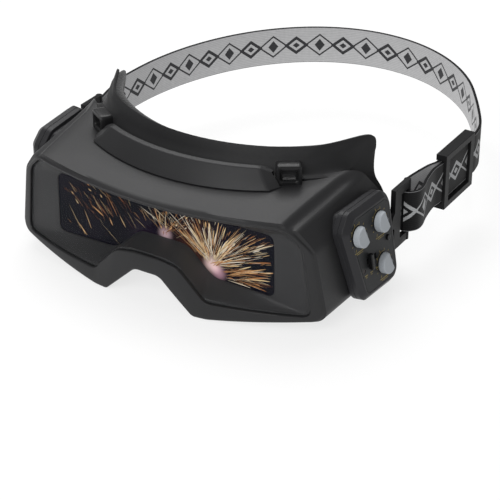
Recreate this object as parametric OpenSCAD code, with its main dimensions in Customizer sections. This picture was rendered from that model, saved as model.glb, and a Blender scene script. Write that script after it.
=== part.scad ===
// Auto-darkening welding goggles with a wide viewing window, side control pod and elastic head strap.
// +X is the wearer's left, +Y runs back past the head, +Z is up.
// The origin is under the middle of the whole object, level with the surface it stands on.

/* [Front shell] */
// Width across the lower corners of the bowed front
front_w = 197; // [180:1:240]
// Width across the top edge of the front, hip to hip
crown_w = 160; // [140:1:196]
// Height of the front above its lower corners
front_h = 54; // [50:1:66]
// Depth of the two chin points below the lower corners
chin_drop = 10; // [6:1:14]
// Wall of the shell
wall = 2.4; // [1.6:0.1:3.2]
// Radius of the bowed front, seen from above
bow_r = 241; // [200:1:300]
// Thickness of the front rim
rim_t = 3.6; // [3:0.1:5]
// Rise of the roof from the front edge to the back
roof_rise = 9; // [4:1:14]

/* [Nose arch] */
// Width of the arch between the chin points
nose_w = 57; // [48:1:66]
// Width of the flat at the top of the arch
nose_top_w = 16; // [10:1:22]
// Height of the arch above the lower corners
nose_rise = 9.5; // [6:0.5:13]

/* [Window] */
// Width of the clear viewing window
window_w = 140; // [120:1:150]
// Height of the clear viewing window
window_h = 37; // [30:1:40]
// Setback of the window plane behind the front at the middle
window_y = 18; // [16:0.5:20]
// Thickness of the outer cover lens
cover_t = 1.2; // [0.8:0.1:1.6]
// Clearance round the cover lens
cover_gap = 0.3; // [0.2:0.05:0.5]

/* [Head] */
// Radius of the face curve that the seal follows
face_r = 100; // [90:1:112]
// Setback of the brow behind the front at the middle
brow_y = 45.7; // [44:0.1:52]
// Height that the brow flange stands above the lower corners
brow_h = 72; // [68:1:82]
// Thickness of the moulded seal
seal_t = 2.6; // [2:0.1:3.4]
// Thickness of the face foam
foam_t = 5; // [3:0.5:7]

/* [Pods] */
// Length of each side pod along the temple
pod_l = 40; // [36:1:48]
// Height of each side pod
pod_h = 47; // [43:1:54]
// How far each pod stands out from the shell
pod_d = 12.5; // [11:0.5:16]
// Outward flare of the sides, downwards
flare = 9.6; // [6:0.2:12]
// Turn of the pods towards the front
toe = 4; // [0:0.5:6]
// Diameter of a control knob
knob_d = 11.5; // [9:0.5:13]
// Height of a control knob above its panel
knob_h = 4.2; // [3:0.2:6]
// Radius of a control shaft
shaft_r = 3; // [2:0.1:3.2]
// Travel of the mode lever
lever_travel = 6; // [3:0.5:7]
// Travel of the test button
button_travel = 0.8; // [0.5:0.1:1.2]
// Diameter of a coin cell
cell_d = 24; // [20:0.5:26]

/* [Strap] */
// Height of the strap webbing
strap_h = 25; // [20:1:30]
// Thickness of the strap webbing
strap_t = 1.6; // [1.2:0.1:2.4]
// Distance from the front of the goggles to the back of the strap loop
loop_l = 288; // [250:1:330]
// Width of the strap loop
loop_w = 220.4; // [214:0.2:250]
// Radius of the pivot pins that the strap brackets turn on
pivot_r = 4; // [3:0.1:5]

/* [Hidden] */
$fn = 96;
eps = 0.01;
fit = 0.05;
body_gap = 0.4;
part_gap = 0.15;

// Head axis: the seal, shell back and hood are all turned about this upright line
head_y = brow_y + face_r;
shell_back_r = face_r + 10.3;
roof_depth = 80;
shell_end = 92;
side_flare = 3;
crown_flare = 7;
shoulder_in = 6;
shoulder_drop = 14;
corner_r = 3;
chin_flat = 8;
// Where the side wall stands at the pod, and the pod's own place
pod_mid_y = 58.5;
pod_mid_z = 28;
pod_x = front_w / 2 - 4.3 + pod_d;
pivot_y = 90;
pivot_z = 30;
bracket_x = pod_x - 5.4;
bar_y = 104;
bar_r = 2;

// ---- helpers -------------------------------------------------------------------------------

module place() translate([0, -loop_l / 2, chin_drop]) children();
module flip() mirror([1, 0, 0]) children();

// A half outline (x >= 0, from the top to the bottom) made whole about x = 0
function whole(half) = concat(half, [for (i = [len(half) - 1:-1:0]) [-half[i].x, half[i].y]]);

function unit(v) = v / norm(v);
function left_of(a, b) = let (d = unit(b - a)) [-d.y, d.x];
// A closed outline moved inwards by d (outlines run clockwise, so their inside is on the right)
function inset(p, d) = [for (i = [0:len(p) - 1])
    let (n1 = -left_of(p[(i + len(p) - 1) % len(p)], p[i]), n2 = -left_of(p[i], p[(i + 1) % len(p)]))
    p[i] + d * (n1 + n2) / (1 + n1 * n2)];

function at_y(p, y) = [for (q = p) [q.x, y, q.y]];
function at_z(p, z) = [for (q = p) [q.x, q.y, z]];

// A closed solid between two rings with the same number of points, the first ring clockwise from outside.
// Its second half is cut into triangles the other way round, so that it mirrors the first half
module loft(a, b) {
    n = len(a);
    polyhedron(
        points = concat(a, b),
        faces = concat(
            [[for (i = [0:n - 1]) i]],
            [[for (i = [n - 1:-1:0]) n + i]],
            [for (i = [0:n - 1]) each let (j = (i + 1) % n) i < n / 2
                ? [[j, i, n + j], [i, n + i, n + j]]
                : [[j, i, n + i], [j, n + i, n + j]]]
        )
    );
}

// A closed frame made from rings with the same number of points, each joined to the next,
// and the last to the first
module ring_frame(rings) {
    n = len(rings[0]);
    m = len(rings);
    polyhedron(
        points = [for (r = rings) each r],
        faces = [for (k = [0:m - 1], i = [0:n - 1])
            each let (a = k * n, b = ((k + 1) % m) * n, j = (i + 1) % n)
                [[a + i, a + j, b + j], [a + i, b + j, b + i]]]
    );
}

// An outline of [x, z] points carried along Y
module prism(p, y0, y1) translate([0, y1, 0]) rotate([90, 0, 0]) linear_extrude(y1 - y0) polygon(p);

// Upright cylinders that bound the pieces: the bowed front and the curve of the face
module behind_bow(d) translate([0, bow_r, -60]) cylinder(r = bow_r - d, h = 200, $fn = 200);
module within_face(r) translate([0, head_y, -60]) cylinder(r = r, h = 200, $fn = 200);

// The outline of the front shell at depth y, with its lower side corners cut back by c
function outline(y, c = 0) = let (k = y / roof_depth) whole([
    [crown_w / 2 + crown_flare * k, front_h + roof_rise * k],
    [front_w / 2 - shoulder_in + side_flare * k, front_h - shoulder_drop + side_flare * k],
    [front_w / 2 + side_flare * k, corner_r + c],
    [front_w / 2 - corner_r - 1.2 * c + side_flare * k, -corner_r / 3 - 0.18 * c],
    [nose_w / 2 + chin_flat, -chin_drop],
    [nose_w / 2, -chin_drop],
    [nose_top_w / 2, nose_rise]
]);
module shell_solid(d, y0, y1) loft(at_y(inset(outline(y0), d), y0), at_y(inset(outline(y1), d), y1));
// What a piece standing on the shell is cut by
module off_shell() shell_solid(-eps, -1, shell_end);

// The lens opening in the front rim, and the window deep behind it, point for point
rim_side = 6.5;
rim_top = 2;
rim_low = 10;
// Setback of the cover lens behind the rim
cover_y = 0.7;
opening = whole([
    [crown_w / 2 - 2, front_h - rim_top],
    [front_w / 2 - shoulder_in - rim_side + 1, front_h - shoulder_drop + 3.5],
    [front_w / 2 - rim_side, corner_r + 1.5],
    [front_w / 2 - rim_side - 2.5, corner_r - 1.5],
    [nose_w / 2 + 7.5, rim_low - chin_drop + 0.3],
    [nose_w / 2 - 8.5, nose_rise + rim_low - 1.5],
    [nose_top_w / 2, nose_rise + rim_low + 1]
]);
window_low = 7.2;
window = whole([
    [window_w / 2 - 3, window_low + window_h],
    [window_w / 2 - 0.5, window_low + window_h - 2.5],
    [window_w / 2, window_low + 2.5],
    [window_w / 2 - 2.5, window_low],
    [nose_w / 2 + 3, window_low + 0.5],
    [nose_top_w, window_low + 15.5],
    [nose_top_w / 2, window_low + 16]
]);

// ---- front shell and what is moulded on it ---------------------------------------------------

cable_y = 50;
cable_z = 22;

module front_shell() color("#3c3d3f") place() difference() {
    intersection() {
        shell_solid(0, -1, shell_end);
        behind_bow(0);
    }
    within_face(shell_back_r);
    intersection() {
        shell_solid(wall, -2, shell_end + 1);
        behind_bow(rim_t);
    }
    prism(opening, -5, 40);
    vent_slots();
    for (s = [-1, 1]) {
        translate([s * front_w / 2, cable_y, cable_z]) cube([40, 7, 10], center = true);
        translate([s * bracket_x - 20, pivot_y, pivot_z]) rotate([0, 90, 0])
            cylinder(r = pivot_r + part_gap + 0.35, h = 40);
    }
}

// Raised hood over the roof vents, a cone about the head axis
hood_z = front_h + 3;
hood_top_z = front_h + 14.5;
hood_low_r = face_r + 24.5;
hood_top_r = face_r + 16.5;
hood_half_w = 56;
hood_t = 2;
module hood_cone(d) translate([0, head_y, hood_z]) cylinder(r1 = hood_low_r - d, r2 = hood_top_r - d,
    h = hood_top_z - hood_z - d, $fn = 200);
hood_plan = [[-hood_half_w, 0], [hood_half_w, 0], [hood_half_w - 14, 70], [14 - hood_half_w, 70]];
module hood_wedge(d) translate([0, 0, hood_z - 1])
    linear_extrude(30) polygon([for (p = hood_plan) [p.x - sign(p.x) * d, p.y]]);
module vent_hood() color("#3a3b3d") place() difference() {
    intersection() {
        hood_cone(0);
        hood_wedge(0);
    }
    within_face(shell_back_r + 0.2);
    intersection() {
        hood_cone(hood_t);
        hood_wedge(hood_t);
    }
    off_shell();
}

vent_count = 6;
vent_pitch = 15;
// Where the upright cylinder of radius r about the head axis stands at x
function round_y(r, x) = head_y - sqrt(r * r - x * x);
module vent_slots() for (i = [0:vent_count - 1]) let (x = (i - (vent_count - 1) / 2) * vent_pitch)
    translate([x, round_y(shell_back_r + 6, x), front_h]) cube([8, 4, 30], center = true);

// Rectangular sockets beside the hood that take the clips of an add-on mask
clip_x = 60.5;
clip_y = 50;
clip_w = 11.4;
clip_l = 5.5;
clip_top = front_h + 16.5;
clip_turn = 33;
clip_wall = 1.3;
clip_hole_h = 7;
module clip_socket() translate([clip_x, clip_y, 0]) rotate([0, 0, clip_turn]) difference() {
    translate([-clip_w / 2, -clip_l / 2, hood_z - 2]) cube([clip_w, clip_l, clip_top - hood_z + 2]);
    translate([clip_wall - clip_w / 2, -clip_l, clip_top - clip_wall - clip_hole_h])
        cube([clip_w - 2 * clip_wall, 2 * clip_l, clip_hole_h]);
}
module clip_sockets() color("#2a2b2c") place() difference() {
    union() {
        clip_socket();
        flip() clip_socket();
    }
    off_shell();
}

// ---- window stack ----------------------------------------------------------------------------

seat_in = 2.2;
bezel_t = 2;
function bow_at(x) = bow_r - sqrt(bow_r * bow_r - x * x);
function at_bow(p, d) = [for (q = p) [q.x, bow_at(q.x) + d, q.y]];
module lens_bezel() color("#35363a") place() ring_frame([
    at_bow(inset(opening, part_gap), cover_y + cover_t + 0.3),
    at_bow(inset(opening, seat_in), cover_y + cover_t + 0.3),
    at_y(window, window_y),
    at_y(inset(window, -bezel_t), window_y + 0.5),
    at_bow(inset(opening, part_gap), cover_y + cover_t + 0.3 + bezel_t)
]);

// Thin curved lens that sits in the front rim and pulls straight out to be changed
module outer_cover_lens() color([0.75, 0.85, 0.85, 0.25]) place() intersection() {
    prism(inset(opening, cover_gap), -5, 40);
    difference() {
        behind_bow(cover_y);
        behind_bow(cover_y + cover_t);
    }
}

stack_y = window_y + 0.6;
filter_t = 1.4;
cell_t = 2.0;
glass_t = 1.0;
stack_t = filter_t + cell_t + glass_t + 0.4;
stack_edge = 1.6;
module filter_plate(y, t) prism(inset(window, -stack_edge), y, y + t);
module uv_ir_filter() color("#10131c") place() filter_plate(stack_y, filter_t);
module lcd_cell() color("#151a26") place() filter_plate(stack_y + filter_t + 0.1, cell_t);
module back_glass() color("#1c2230") place() filter_plate(stack_y + filter_t + cell_t + 0.2, glass_t);

house_y = stack_y + stack_t;
house_wall = 2;
module filter_housing() color("#222325") place() difference() {
    prism(inset(window, -stack_edge - house_wall - part_gap), stack_y + 0.6, house_y + house_wall + 3);
    prism(inset(window, -stack_edge - part_gap), stack_y - 1, house_y);
    prism(window, 0, 60);
    translate([-window_w, house_y + house_wall, -60]) intersection() {
        cube([2 * window_w, 20, 200]);
        translate([window_w, -house_y - house_wall, 60]) prism(inset(window, -stack_edge - part_gap), 0, 60);
    }
}
inner_y = house_y + house_wall + 0.1;
module inner_cover_lens() color([0.8, 0.88, 0.88, 0.25]) place() filter_plate(inner_y, 1);
module inner_lens_frame() color("#2a2b2d") place() difference() {
    prism(inset(window, -stack_edge), inner_y + 1.1, inner_y + 2.7);
    prism(inset(window, 1), 0, 60);
}

// Light sensors above the dark filter, the strip board that reads them, and the leads to the pods
sensor_x = 52;
sensor_r = 1.3;
board_y = house_y + house_wall + 3.3;
strip_z = window_low + window_h + 2;
module arc_sensors() color("#0c0c0e") place() for (s = [-1, 1])
    translate([s * sensor_x, board_y - 0.1, strip_z + 3.6]) rotate([90, 0, 0])
        cylinder(r = sensor_r, h = 1.4);
module filter_board() color("#1d5a38") place()
    translate([-window_w / 2 + 6, board_y, strip_z]) cube([window_w - 12, 1, 6]);

// A flat lead: off the end of the strip board, back along the housing, and out through the shell
module lead(t, h) {
    translate([window_w / 2 - 6, board_y + 0.1, strip_z + 0.5]) cube([6, t, h]);
    translate([window_w / 2 - t, board_y + 0.1, cable_z - h / 2])
        cube([t, cable_y - board_y, strip_z - cable_z + 1.5 * h]);
    translate([window_w / 2 - t, cable_y - t + 0.1, cable_z - h / 2])
        cube([pod_x - window_w / 2 - 8 + t, t, h]);
}
module flex_cable() color("#a8702a") place() lead(0.4, 4);
module battery_lead() color("#7a1d1d") place() flip() lead(1.2, 2.4);

// ---- face seal -------------------------------------------------------------------------------

seal_w = 13;
flange = whole([
    [crown_w / 2 - 3, brow_h + 1],
    [crown_w / 2 + 5, brow_h - 6],
    [front_w / 2 - 8, front_h - shoulder_drop],
    [front_w / 2 - 5, corner_r],
    [front_w / 2 - 14, -corner_r],
    [nose_w / 2 + 30, -chin_drop],
    [nose_w / 2 + 2, -chin_drop],
    [nose_top_w / 2 - 1, nose_rise - 7]
]);
seal_taper = 4.4;
skirt_end = 99;
module face_band(r0, r1) difference() {
    within_face(r1);
    within_face(r0);
}
skirt_corner = 7;
module skirt_solid(d, y0, y1) loft(
    at_y(inset(outline(y0, skirt_corner), wall + 0.2 + d), y0),
    at_y(inset(outline(y1, skirt_corner), wall + 0.2 + seal_taper + d), y1)
);
module seal_frame() color("#2b2c2e") place() difference() {
    intersection() {
        skirt_solid(0, 20, skirt_end);
        within_face(shell_back_r + 5);
    }
    skirt_solid(seal_t, 19, skirt_end + 1);
    within_face(face_r + seal_t + 0.05);
}
module face_seal() color("#262728") place() difference() {
    intersection() {
        prism(flange, 5, skirt_end + 1);
        within_face(face_r + seal_t);
    }
    prism(inset(flange, seal_w), 4, skirt_end + 2);
    within_face(face_r);
}

// Four blocks on the inside of the shell that the front edge of the skirt stops against
hook_x = 36;
hook_side_x = front_w / 2 - 14;
hook_w = 8;
hook_l = 3;
hook_h = 10;
module seal_hooks() color("#1f2021") place() difference() {
    intersection() {
        for (s = [-1, 1], p = [[hook_x, front_h - 4], [hook_side_x, -hook_h / 2]])
            translate([s * p.x - hook_w / 2, round_y(shell_back_r + 5 + hook_l, p.x), p.y])
                cube([hook_w, 2 * hook_l, hook_h]);
        shell_solid(wall + eps, -2, shell_end + 1);
    }
    within_face(shell_back_r + 5.1);
}

foam_edge = 2;
module face_foam() color("#1a1a1b") place() intersection() {
    difference() {
        prism(inset(flange, foam_edge), 5, 110);
        prism(inset(flange, foam_edge + 12), 4, 111);
    }
    face_band(face_r - foam_t, face_r - 0.1);
}

// ---- side pods -------------------------------------------------------------------------------

// Local frame of a pod: X rearwards, Y up, Z straight out of its panel, whose face is at 0
module pod_frame() translate([pod_x, pod_mid_y, pod_mid_z]) rotate([0, 0, -toe]) rotate([0, -flare, 0])
    rotate([90, 0, 90]) children();

pod_corner = 3.5;
pod_slant = 9;
pod_outline = [
    [-pod_l / 2, pod_h / 2 - pod_corner - 3],
    [-pod_l / 2 + 6, pod_h / 2],
    [pod_l / 2 - pod_corner, pod_h / 2],
    [pod_l / 2, pod_h / 2 - pod_corner],
    [pod_l / 2, -pod_h / 2 + pod_corner],
    [pod_l / 2 - pod_corner, -pod_h / 2],
    [-pod_l / 2 + pod_slant + 2, -pod_h / 2],
    [-pod_l / 2 + pod_slant, -pod_h / 2 + 2]
];
pod_lip = 3;
pod_wall = 1.8;
panel_t = 1.6;
module pod_shape() union() {
    loft(at_z(pod_outline, 0), at_z(inset(pod_outline, -pod_lip), -pod_lip));
    translate([0, 0, -pod_d - 6]) linear_extrude(pod_d + 6 - pod_lip + eps)
        polygon(inset(pod_outline, -pod_lip));
}
lug_r = 9;
module pod_base() difference() {
    union() {
        pod_frame() difference() {
            pod_shape();
            translate([0, 0, -panel_t - 0.1]) linear_extrude(10) polygon(inset(pod_outline, 1.2));
            translate([0, 0, -pod_d - 6]) linear_extrude(pod_d + 5) polygon(inset(pod_outline, pod_wall));
        }
        pod_frame() for (p = screw_spots) translate([p.x, p.y, -pod_d]) difference() {
            cylinder(r = 2.2, h = pod_d - panel_t - 1.1);
            translate([0, 0, -1]) cylinder(r = 1.1, h = pod_d + 2);
        }
        translate([bracket_x - 7.6, pivot_y, pivot_z]) rotate([0, 90, 0]) cylinder(r = lug_r, h = 7.2);
        translate([bracket_x - 7.6, pivot_y - 12, pivot_z - lug_r]) cube([7.2, 12, 2 * lug_r]);
    }
    translate([bracket_x - 20, pivot_y, pivot_z]) rotate([0, 90, 0]) cylinder(r = pivot_r, h = 40);
    off_shell();
    within_face(face_r + seal_t + 0.4);
}
screw_spots = [[-pod_l / 2 + 7.3, 1.5], [pod_l / 2 - 4.2, -pod_h / 2 + 4.2]];
module control_pod_base() color("#37383a") place() pod_base();
module battery_pod_base() color("#37383a") place() flip() pod_base();

knob_top_y = 12.6;
knob_spots = [[-12, knob_top_y], [8.5, knob_top_y], [8, -11.5]];
lever_spot = [-5.5, -4.5];
lever_w = 2.6;
lever_len = 9;
slot_w = 3.4;
button_spot = [14.5, 0.6];
led_spot = [-10.6, -8.5];
led_r = 1.2;
button_r = 1.6;
module control_panel() color("#303133") place() pod_frame() difference() {
    translate([0, 0, -panel_t]) linear_extrude(panel_t) polygon(inset(pod_outline, 1.2 + part_gap));
    for (p = knob_spots) translate([p.x, p.y, -5]) cylinder(r = shaft_r, h = 10);
    translate([lever_spot.x - lever_w / 2 - body_gap, lever_spot.y - slot_w / 2, -5])
        cube([lever_w + lever_travel + 2 * body_gap, slot_w, 10]);
    translate([button_spot.x, button_spot.y, -5]) cylinder(r = button_r + fit, h = 10);
    translate([led_spot.x, led_spot.y, -5]) cylinder(r = led_r + 0.1, h = 10);
}

board_z = -8.8;
board_t = 1.2;
module control_board() color("#1d5a38") place() pod_frame() difference() {
    translate([0, 0, board_z]) linear_extrude(board_t) polygon(inset(pod_outline, pod_wall + 0.6));
    for (p = screw_spots) translate([p.x, p.y, -20]) cylinder(r = 2.5, h = 30);
    translate([cable_y - pod_mid_y - 6, cable_z - pod_mid_z - 3, -20]) cube([9, 6, 30]);
}
pot_w = 8;
pot_h = 5;
module potentiometers() color("#3c4046") place() pod_frame() for (p = knob_spots)
    translate([p.x, p.y, board_z + board_t]) difference() {
        translate([-pot_w / 2, -pot_w / 2, 0]) cube([pot_w, pot_w, pot_h]);
        translate([0, 0, 1]) cylinder(r = shaft_r, h = pot_h);
    }
module slide_switch_body() color("#2c2e31") place() pod_frame() translate([lever_spot.x - lever_w / 2 - 1.4,
    lever_spot.y - 3, board_z + board_t]) difference() {
        cube([lever_w + lever_travel + 2.8, 6, pot_h]);
        translate([1, 3 - slot_w / 2, 1.5]) cube([lever_w + lever_travel + 0.8, slot_w, pot_h]);
    }
module tact_switch() color("#26282b") place() pod_frame()
    translate([button_spot.x - 2.4, button_spot.y - 2.4, board_z + board_t]) cube([4.8, 4.8, 3]);
module status_led() color("#7c1b12") place() pod_frame()
    translate([led_spot.x, led_spot.y, board_z + board_t]) cylinder(r = led_r, h = -board_z - board_t - 0.2);

// Round knob with one side cut down to a slanted flat; its shaft turns in the panel and the control
module knob() union() {
    difference() {
        cylinder(r = knob_d / 2, h = knob_h);
        translate([knob_d / 2 - 1.2, -knob_d, 0.6]) rotate([0, -32, 0])
            translate([0, 0, -knob_d]) cube([knob_d, 2 * knob_d, 2 * knob_d + knob_h]);
    }
    translate([0, 0, board_z + board_t + 1.2]) cylinder(r = shaft_r - fit, h = -board_z - board_t - 0.2);
}
knob_turn = 18;
module knob_at(i) color("#a3a9af") place() pod_frame()
    translate([knob_spots[i].x, knob_spots[i].y, body_gap]) rotate([0, 0, knob_turn]) knob();
module knob_shade() knob_at(0);
module knob_sensitivity() knob_at(1);
module knob_delay() knob_at(2);

module mode_lever() color("#151516") place() pod_frame() translate([lever_spot.x, lever_spot.y, 0]) union() {
    translate([-lever_w / 2, -lever_len / 2, body_gap]) cube([lever_w, lever_len, 2.8]);
    translate([-lever_w / 2, 0.3 - slot_w / 2, board_z + board_t + 1.8])
        cube([lever_w, slot_w - 0.6, -board_z - board_t - 1.8 + body_gap + eps]);
}
module test_button() color("#111112") place() pod_frame() translate([button_spot.x, button_spot.y, 0])
    translate([0, 0, board_z + board_t + 3 + button_travel + 0.15])
    cylinder(r = button_r, h = -board_z - board_t - 3 - 0.15 + 0.3);

// The screws sit on their bosses, just under the panel or the battery cover
module screws() for (p = screw_spots) translate([p.x, p.y, -panel_t - 0.9]) difference() {
    union() {
        translate([0, 0, -6]) cylinder(r = 1.05, h = 6);
        cylinder(r = 1.6, h = 0.6);
    }
    translate([0, 0, 0.3]) cube([2.4, 0.5, 1], center = true);
}
module control_pod_screws() color("#55575a") place() pod_frame() screws();
module battery_pod_screws() color("#55575a") place() flip() pod_frame() screws();

// Cover that snaps into the battery pod and lifts straight off, with finger ribs
rib_count = 5;
rib_pitch = 1.8;
module battery_cover() color("#333436") place() flip() pod_frame() union() {
    translate([0, 0, -panel_t]) linear_extrude(panel_t) polygon(inset(pod_outline, 1.2 + body_gap));
    for (i = [0:rib_count - 1]) translate([-7, -pod_h / 2 + 6 + rib_pitch * i, -eps]) cube([14, 0.8, 0.5]);
}
coin_t = 3;
module coin_cells() color("#b9bcc0") place() flip() pod_frame() for (i = [0, 1])
    translate([3.5, 2, -panel_t - 1 - (i + 1) * (coin_t + 0.1)]) cylinder(r = cell_d / 2, h = coin_t);
module battery_contacts() color("#c9b27a") place() flip() pod_frame() {
    translate([1, 0, -panel_t - 0.95]) cube([6, 4, 0.3]);
    translate([1, 0, -panel_t - 1.6 - 2 * (coin_t + 0.1)]) cube([6, 4, 0.3]);
}

// ---- strap -----------------------------------------------------------------------------------

bracket_t = 3;
bracket_front = 2.5;
bracket_l = bar_y - pivot_y + bracket_front;
bracket_h = strap_h + 12;
slot_l = 9.4;
pin_l = 6.6;
module strap_bracket() union() {
    difference() {
        union() {
            translate([bracket_x, pivot_y - bracket_front, pivot_z - bracket_h / 2])
                cube([bracket_t, bracket_l, bracket_h]);
            translate([bracket_x, pivot_y, pivot_z]) rotate([0, 90, 0])
                cylinder(r = pivot_r + 1.6, h = bracket_t);
        }
        translate([bracket_x - 1, bar_y - slot_l, pivot_z - strap_h / 2 - 1])
            cube([bracket_t + 2, 20, strap_h + 2]);
    }
    translate([bracket_x + bracket_t / 2, bar_y, pivot_z - bracket_h / 2]) cylinder(r = bar_r, h = bracket_h);
    translate([bracket_x - pin_l, pivot_y, pivot_z]) rotate([0, 90, 0])
        cylinder(r = pivot_r - fit, h = pin_l + eps);
}
module strap_bracket_right() color("#2b2c2e") place() strap_bracket();
module strap_bracket_left() color("#2b2c2e") place() flip() strap_bracket();

// Smooth open curve through a list of plan points
function blend(a, b, c, d, t) = 0.5 * ((2 * b) + (c - a) * t + (2 * a - 5 * b + 4 * c - d) * t * t
    + (3 * b - a - 3 * c + d) * t * t * t);
function smooth(p, steps) = concat([for (i = [0:len(p) - 2], s = [0:steps - 1])
    blend(p[max(i - 1, 0)], p[i], p[i + 1], p[min(i + 2, len(p) - 1)], s / steps)], [p[len(p) - 1]]);
function side_of(p, i) = left_of(p[max(i - 1, 0)], p[min(i + 1, len(p) - 1)]);
module ribbon(p) translate([0, 0, pivot_z - strap_h / 2]) linear_extrude(strap_h) polygon(concat(
    [for (i = [0:len(p) - 1]) p[i] + side_of(p, i) * strap_t / 2],
    [for (i = [len(p) - 1:-1:0]) p[i] - side_of(p, i) * strap_t / 2]));

bar_x = bracket_x + bracket_t / 2;
wrap_r = bar_r + 0.3 + strap_t / 2;
loop_y = 145;
loop_x = -3.7;
slider_y = 160;
slider_l = 37;
slider_x = bar_x + 2.5;
function wrap(s, a0, step, a1) = [for (a = [a0:step:a1])
    [s * (bar_x + wrap_r * cos(a)), bar_y + wrap_r * sin(a)]];
function back(a) = [loop_x + loop_w / 2 * cos(a), loop_y + (loop_l - strap_t / 2 - loop_y) * sin(a)];
right_run = [
    [bar_x + 3.2, bar_y - 1.6], [bar_x + 5.8, bar_y + 2.5],
    [bar_x + 5.8, bar_y + 8], [bar_x + 3.6, bar_y + 17],
    [slider_x - 0.6, slider_y - 27], [slider_x, slider_y - 18], [slider_x, slider_y],
    [slider_x, slider_y + 18], [slider_x - 0.3, slider_y + 28], [slider_x - 4.6, slider_y + 42]
];
left_run = [[-bar_x - 9.5, bar_y + 33], [-bar_x - 7.5, bar_y + 20], [-bar_x - 4, bar_y + 5]];
left_end = [[-bar_x + 1.2, bar_y + 6], [-bar_x - 1, bar_y + 13], [-bar_x - 4.6, bar_y + 20]];
strap_path = smooth(concat([[bar_x, bar_y - wrap_r]], right_run, [for (a = [36:12:180]) back(a)],
    left_run, wrap(-1, 0, -60, -180), left_end), 4);
module strap_main() color("#1c1c1e") place() ribbon(strap_path);
return_path = smooth([
    [bar_x - 0.6, bar_y - wrap_r], [bar_x - wrap_r + 0.4, bar_y - 1], [bar_x - 5, bar_y + 5],
    [bar_x - 5.6, bar_y + 13], [bar_x - 3, bar_y + 30], [slider_x - 2.8, slider_y - 17],
    [slider_x - 4.4, slider_y - 8], [slider_x - 5.2, slider_y]
], 4);
module strap_return() color("#2a2a2c") place() ribbon(return_path);

// Three-bar slider: the end bars lie outside the strap and the middle bar inside it
slider_h = strap_h + 9;
slider_bar = 5;
slider_t = 1.8;
rail_h = 3.8;
slider_out = strap_t / 2 + body_gap;
module strap_slider() color("#252628") place() translate([slider_x, slider_y, pivot_z]) union() {
    for (s = [-1, 1]) {
        translate([slider_out, s * (slider_l - slider_bar) / 2 - slider_bar / 2, -slider_h / 2])
            cube([slider_t, slider_bar, slider_h]);
        translate([-slider_out - slider_t - 0.6, -slider_l / 2, s * (slider_h - rail_h) / 2 - rail_h / 2])
            cube([2 * slider_out + 2 * slider_t + 0.6, slider_l, rail_h]);
    }
    translate([-slider_out - slider_t, slider_bar / 2, -slider_h / 2]) cube([slider_t, slider_bar, slider_h]);
}

front_shell();
vent_hood();
clip_sockets();
lens_bezel();
outer_cover_lens();
filter_housing();
uv_ir_filter();
lcd_cell();
back_glass();
inner_cover_lens();
inner_lens_frame();
arc_sensors();
filter_board();
flex_cable();
battery_lead();
seal_frame();
face_seal();
seal_hooks();
face_foam();
control_pod_base();
control_panel();
control_board();
potentiometers();
slide_switch_body();
tact_switch();
status_led();
knob_shade();
knob_sensitivity();
knob_delay();
mode_lever();
test_button();
control_pod_screws();
battery_pod_base();
battery_cover();
coin_cells();
battery_contacts();
battery_pod_screws();
strap_bracket_right();
strap_bracket_left();
strap_main();
strap_return();
strap_slider();
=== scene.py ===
"""Builds the looks of a pair of auto-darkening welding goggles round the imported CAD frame."""

import math

import bmesh
import bpy
import numpy as np
from bpy.props import FloatProperty, FloatVectorProperty, IntProperty, PointerProperty
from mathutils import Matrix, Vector


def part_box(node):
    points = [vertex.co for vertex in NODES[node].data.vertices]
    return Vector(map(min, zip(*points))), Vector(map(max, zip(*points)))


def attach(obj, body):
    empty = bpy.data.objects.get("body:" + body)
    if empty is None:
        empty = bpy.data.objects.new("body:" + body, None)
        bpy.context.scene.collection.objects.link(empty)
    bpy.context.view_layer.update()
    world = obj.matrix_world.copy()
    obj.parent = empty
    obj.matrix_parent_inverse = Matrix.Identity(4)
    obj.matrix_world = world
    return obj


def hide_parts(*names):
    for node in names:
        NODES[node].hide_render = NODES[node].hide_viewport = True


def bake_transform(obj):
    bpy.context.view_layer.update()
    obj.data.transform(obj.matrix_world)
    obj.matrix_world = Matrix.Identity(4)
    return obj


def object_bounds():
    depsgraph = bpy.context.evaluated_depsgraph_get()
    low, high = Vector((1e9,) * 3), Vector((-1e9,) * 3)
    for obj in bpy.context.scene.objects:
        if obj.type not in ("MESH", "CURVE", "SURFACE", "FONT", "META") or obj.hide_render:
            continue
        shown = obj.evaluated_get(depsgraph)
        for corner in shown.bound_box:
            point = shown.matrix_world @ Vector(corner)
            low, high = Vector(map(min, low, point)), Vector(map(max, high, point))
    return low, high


bl_info = {
    "name": "Welding goggles looks",
    "version": (1, 0, 0),
    "blender": (4, 5, 0),
    "location": "View3D > Sidebar > Goggles",
    "description": "Moulded shell, window, seal, pods and strap of auto-darkening welding goggles",
    "category": "Object",
}

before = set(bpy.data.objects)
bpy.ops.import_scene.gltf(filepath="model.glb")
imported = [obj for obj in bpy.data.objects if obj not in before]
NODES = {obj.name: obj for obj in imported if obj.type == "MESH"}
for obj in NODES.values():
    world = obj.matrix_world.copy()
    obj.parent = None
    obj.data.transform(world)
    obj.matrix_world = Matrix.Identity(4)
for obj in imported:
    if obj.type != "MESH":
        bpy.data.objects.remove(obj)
CAD_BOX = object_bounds()
MM = 0.001
UV_NAME = "run"
# A wave texture of scale 1 draws about this many bands a unit
WAVE_BANDS = 6.283 / 2

# ---- sizes shared with the CAD source, in millimetres in the front's own frame ---------------
# That frame has x across, y back from the middle of the bowed front, z up from its lower corners.

CHIN_DROP = 10.0
SHELL_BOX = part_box("front_shell")
FRONT_Y = SHELL_BOX[0].y
CORNER_Z = SHELL_BOX[0].z + CHIN_DROP * MM
ORIGIN = np.array([0.0, FRONT_Y, CORNER_Z])

BOW_R = 241.0
HEAD_Y = 145.7
SHELL_BACK_R = 110.3
SHELL_END = 92.0
ROOF_DEPTH = 80.0
WALL = 2.4
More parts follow.
